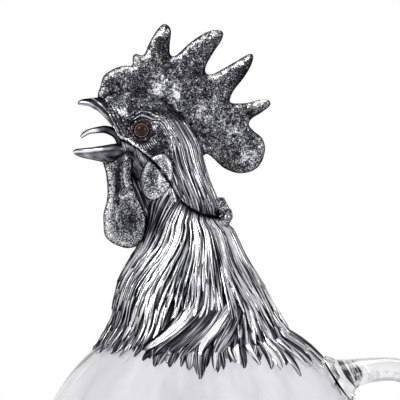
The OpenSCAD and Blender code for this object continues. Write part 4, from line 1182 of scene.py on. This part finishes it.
def lower_beak():
    """Lower beak: each section is a round trough with a thin wall, whose rim is painted bright as a
    highlight and whose root is painted darker as shade.
    """
    rings = 60
    x, top, low, half = beak_lines(LOWER_BEAK_SHARES, rings)
    a = np.linspace(0, np.pi, 47)
    y, z = -half * np.cos(a), top - (top - low) * np.sin(a) ** 0.7
    wall = np.minimum(BEAK_T, 0.4 * half)
    b = a[::-1]
    dip = np.sin(b) ** 0.7
    z_in = top - np.maximum(top - low - wall, 0.05) * dip
    points = np.stack([np.broadcast_to(x, (rings, 2 * len(a))),
                       np.concatenate([y, -(half - wall) * np.cos(b)], 1),
                       np.concatenate([z, z_in], 1)], -1)
    under = top - z
    # Painted highlight under the rim and painted shade towards the root by the wattles
    shade = 0.54 - 0.16 * ease(-56, -46, x) + 0.5 * bump(under, 1.1, 0.4)
    shade = shade - 0.34 * bump(under, 0.2, 0.45) - 0.14 * bump(under, 2.2, 0.6)
    inside = np.broadcast_to(0.2 + 0.2 * bump(dip, 0, 0.3), z_in.shape)
    sections("lower_beak_trough", points, "jug", "oxidised_silver", BURNISHED, "lower_beak",
             np.concatenate([shade, inside], 1))


def tongue():
    """Tongue: a flat blade between its upper and lower lines, with a groove along the top."""
    rings = 50
    row = carried(TONGUE_SHARES, rings)
    scale, shift = np.array([BIRD_L, BIRD_H]), np.array([0, SHOULDER_Z])
    top, low = row[:, :2] * scale + shift, row[:, 2:4] * scale + shift
    half = TONGUE_W / 2 * row[:, 4:]
    a = 2 * np.pi * np.arange(24) / 24
    groove = 0.35 * (np.sin(a) > 0) * bump(np.cos(a), 0, 0.3)
    rise = np.sign(np.sin(a)) * np.abs(np.sin(a)) ** 0.8 * (1 - groove)
    mid, reach = (top + low) / 2, (top - low) / 2
    side = mid[:, None] + reach[:, None] * rise[None, :, None]
    points = np.stack([side[..., 0], half * np.cos(a), side[..., 1]], -1)
    # Painted highlight: the tip is painted bright, most on its underside
    tip = ease(26, 14, np.arange(rings))[:, None]
    polish = 0.3 + 0.04 * np.sin(a) + tip * (0.1 + 0.75 * ease(0.45, -0.2, np.sin(a)))
    sections("tongue_curl", points, "jug", "dark_silver", BURNISHED, "tongue", np.clip(polish, 0, 1))


def eye(hand, name, node):
    """Glass eye: a sphere whose rings of colour follow the distance to the axis that points out
    of the cheek."""
    rings, sides = 40, 56
    at = np.array([EYE_AT[0], hand * (cheek_y(*EYE_AT) - EYE_SINK), EYE_AT[1]])
    polar = np.linspace(0, np.pi, rings + 2)[1:-1]
    a = 2 * np.pi * np.arange(sides) / sides
    r = EYE_D / 2
    points = np.stack([at[0] + r * np.sin(polar)[:, None] * np.cos(a),
                       at[1] + hand * r * np.cos(polar)[:, None] + 0 * a,
                       at[2] + r * np.sin(polar)[:, None] * np.sin(a)], -1)
    poles = at + np.array([[0, hand * r, 0], [0, -hand * r, 0]])
    ring = np.broadcast_to(np.where(polar < np.pi / 2, np.sin(polar), 1)[:, None], (rings, sides))
    place(name, np.concatenate([points.reshape(-1, 3), poles]), tube_faces(rings, sides), "head_lid",
          "eye_glass", EYE, [node], np.concatenate([ring.ravel(), [0, 1]]))


glass_globe()
glass_loop()
hackle_skin()
hackle_feathers()
head()
head_feathers()
comb_plate()
wattle_plate(-1, "wattle_leaf_left", "wattle_left")
wattle_plate(1, "wattle_leaf_right", "wattle_right")
for hand, word in ((-1, "left"), (1, "right")):
    lobe_plate(hand, False, "lobe_low_" + word, "ear_lobe_" + word)
    lobe_plate(hand, True, "lobe_high_" + word, "ear_lobe_upper_" + word)
    eye(hand, "glass_eye_" + word, "eye_" + word)
upper_beak()
lower_beak()
tongue()

for node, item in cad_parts.items():
    if not item.hide_render:
        item.data.materials.clear()
        item.data.materials.append(PLASTER if node == "neck_cement" else
                                   SUNKEN if node.startswith("eye_bezel") else
                                   DULLED if node.endswith("hinge_lugs") else TURNED)


# Floor, light and camera
def seen_rays(tree):
    """The light path node, and 1 for a ray that the eye follows, straight or by a mirror or
    glass, and 0 for light that only falls on things."""
    path = add(tree, "LightPath")
    seen = add(tree, "Math", {0: path.outputs["Is Camera Ray"], 1: path.outputs["Is Glossy Ray"]},
               operation="MAXIMUM").outputs[0]
    seen = add(tree, "Math", {0: seen, 1: path.outputs["Is Transmission Ray"]},
               operation="MAXIMUM").outputs[0]
    return path, seen


def paper_floor():
    """Matt white paper pressed from fibres of about 1 mm, on a disc that runs into the white
    room, so that the table has no edge."""
    material, tree = new_material("floor_paper_matt")
    where = add(tree, "TexCoord").outputs["Object"]
    far = add(tree, "VectorMath", {0: where}, operation="LENGTH").outputs["Value"]
    fibres = add(tree, "TexNoise", {"Vector": where, "Scale": 900.0, "Detail": 2.0}).outputs[0]
    paper = add(tree, "ValToRGB", {0: fibres}, stops=[(0.3, "#eeeeef"), (0.7, "#f4f4f4")]).outputs[0]
    matt = add(tree, "BsdfPrincipled", {"Base Color": paper, "Roughness": 0.9}).outputs[0]
    white = add(tree, "Emission", {"Color": (1, 1, 1, 1), "Strength": 1.0}).outputs[0]
    _, seen = seen_rays(tree)
    blend = add(tree, "MapRange", {0: far, 1: 0.22, 2: 0.62, 3: 0.0, 4: 1.0},
                interpolation_type="SMOOTHSTEP").outputs[0]
    share = add(tree, "Math", {0: seen, 1: blend}, operation="MULTIPLY").outputs[0]
    mix = add(tree, "MixShader", {0: share, 1: matt, 2: white}).outputs[0]
    add(tree, "OutputMaterial", {"Surface": mix})
    sides, r = 96, 4.0
    a = 2 * np.pi * np.arange(sides) / sides
    mesh = bpy.data.meshes.new("floor")
    circle = np.stack([r * np.cos(a), r * np.sin(a), 0 * a], -1)
    mesh.from_pydata(circle.tolist(), [], [list(range(sides))])
    mesh.materials.append(material)
    floor = bpy.data.objects.new("floor", mesh)
    bpy.context.scene.collection.objects.link(floor)


def white_room():
    """World: white to the camera, and for silver and glass to mirror a white room with a greyer
    belt above eye level and faint upright seams."""
    world = bpy.context.scene.world or bpy.data.worlds.new("studio")
    bpy.context.scene.world = world
    world.use_nodes = True
    tree = world.node_tree
    tree.nodes.clear()
    path, seen = seen_rays(tree)
    sight = add(tree, "TexCoord").outputs["Generated"]
    height = add(tree, "SeparateXYZ", {0: sight}).outputs["Z"]
    belt = add(tree, "ValToRGB", {0: height}, stops=[
        (0.0, "#ffffff"), (0.28, "#ffffff"), (0.42, "#cfcfd1"),
        (0.62, "#cfcfd1"), (0.8, "#ffffff")]).outputs[0]
    upright = add(tree, "VectorMath", {0: sight, 1: (11.0, 11.0, 1.6)}, operation="MULTIPLY").outputs[0]
    seams = add(tree, "TexNoise", {"Vector": upright, "Scale": 1.0, "Detail": 1.0}).outputs[0]
    dim = add(tree, "MapRange", {0: seams, 1: 0.42, 2: 0.54, 3: 0.8, 4: 1.0}).outputs[0]
    belt = add(tree, "VectorMath", {0: belt, "Scale": dim}, operation="SCALE").outputs[0]
    direct = add(tree, "Math", {0: 1.0, 1: path.outputs["Is Camera Ray"]}, operation="SUBTRACT").outputs[0]
    colour = add(tree, "Mix", {0: direct, 6: (1, 1, 1, 1), 7: belt}, data_type="RGBA").outputs[2]
    level = add(tree, "MapRange", {0: seen, 1: 0.0, 2: 1.0, 3: 0.55, 4: 1.0}).outputs[0]
    light = add(tree, "Background", {"Color": colour, "Strength": level}).outputs[0]
    add(tree, "OutputWorld", {"Surface": light})


def aim(item, way):
    """Turns a lamp or camera to look along a direction, and puts it in the scene."""
    item.rotation_mode = "QUATERNION"
    item.rotation_quaternion = Vector(way).to_track_quat("-Z", "Y")
    bpy.context.scene.collection.objects.link(item)


def soft_lamps():
    """Three soft square lamps, in metres and watts: the key, the fill and one on top."""
    for name, at, size, power in (("key", (-0.9, -1.1, 1.25), 0.7, 16.0),
                                  ("fill", (1.3, -0.9, 0.7), 0.8, 6.0),
                                  ("top", (0.1, 0.7, 1.5), 0.9, 9.0)):
        lamp = bpy.data.lights.new(name, "AREA")
        lamp.shape, lamp.size, lamp.energy = "SQUARE", size, power
        item = bpy.data.objects.new(name, lamp)
        item.location = at
        aim(item, np.array([0, 0, 0.2]) - np.array(at))


def photo_camera():
    """The photograph's camera, in metres: 5 degrees up, with 0.2 m across the frame."""
    camera = bpy.data.cameras.new("camera")
    item = bpy.data.objects.new("camera", camera)
    distance, half_frame, rise = 1.6, 0.100, math.radians(5)
    camera.sensor_width = 36.0
    camera.lens = camera.sensor_width / 2 / (half_frame / distance)
    camera.clip_start, camera.clip_end = 0.05, 60
    target = np.array([-0.0015, 0.0, 0.216])
    back = np.array([0, -math.cos(rise), math.sin(rise)])
    item.location = target + back * distance
    aim(item, -back)
    bpy.context.scene.camera = item
    bpy.context.scene.view_settings.view_transform = "Standard"


paper_floor()
white_room()
soft_lamps()
photo_camera()
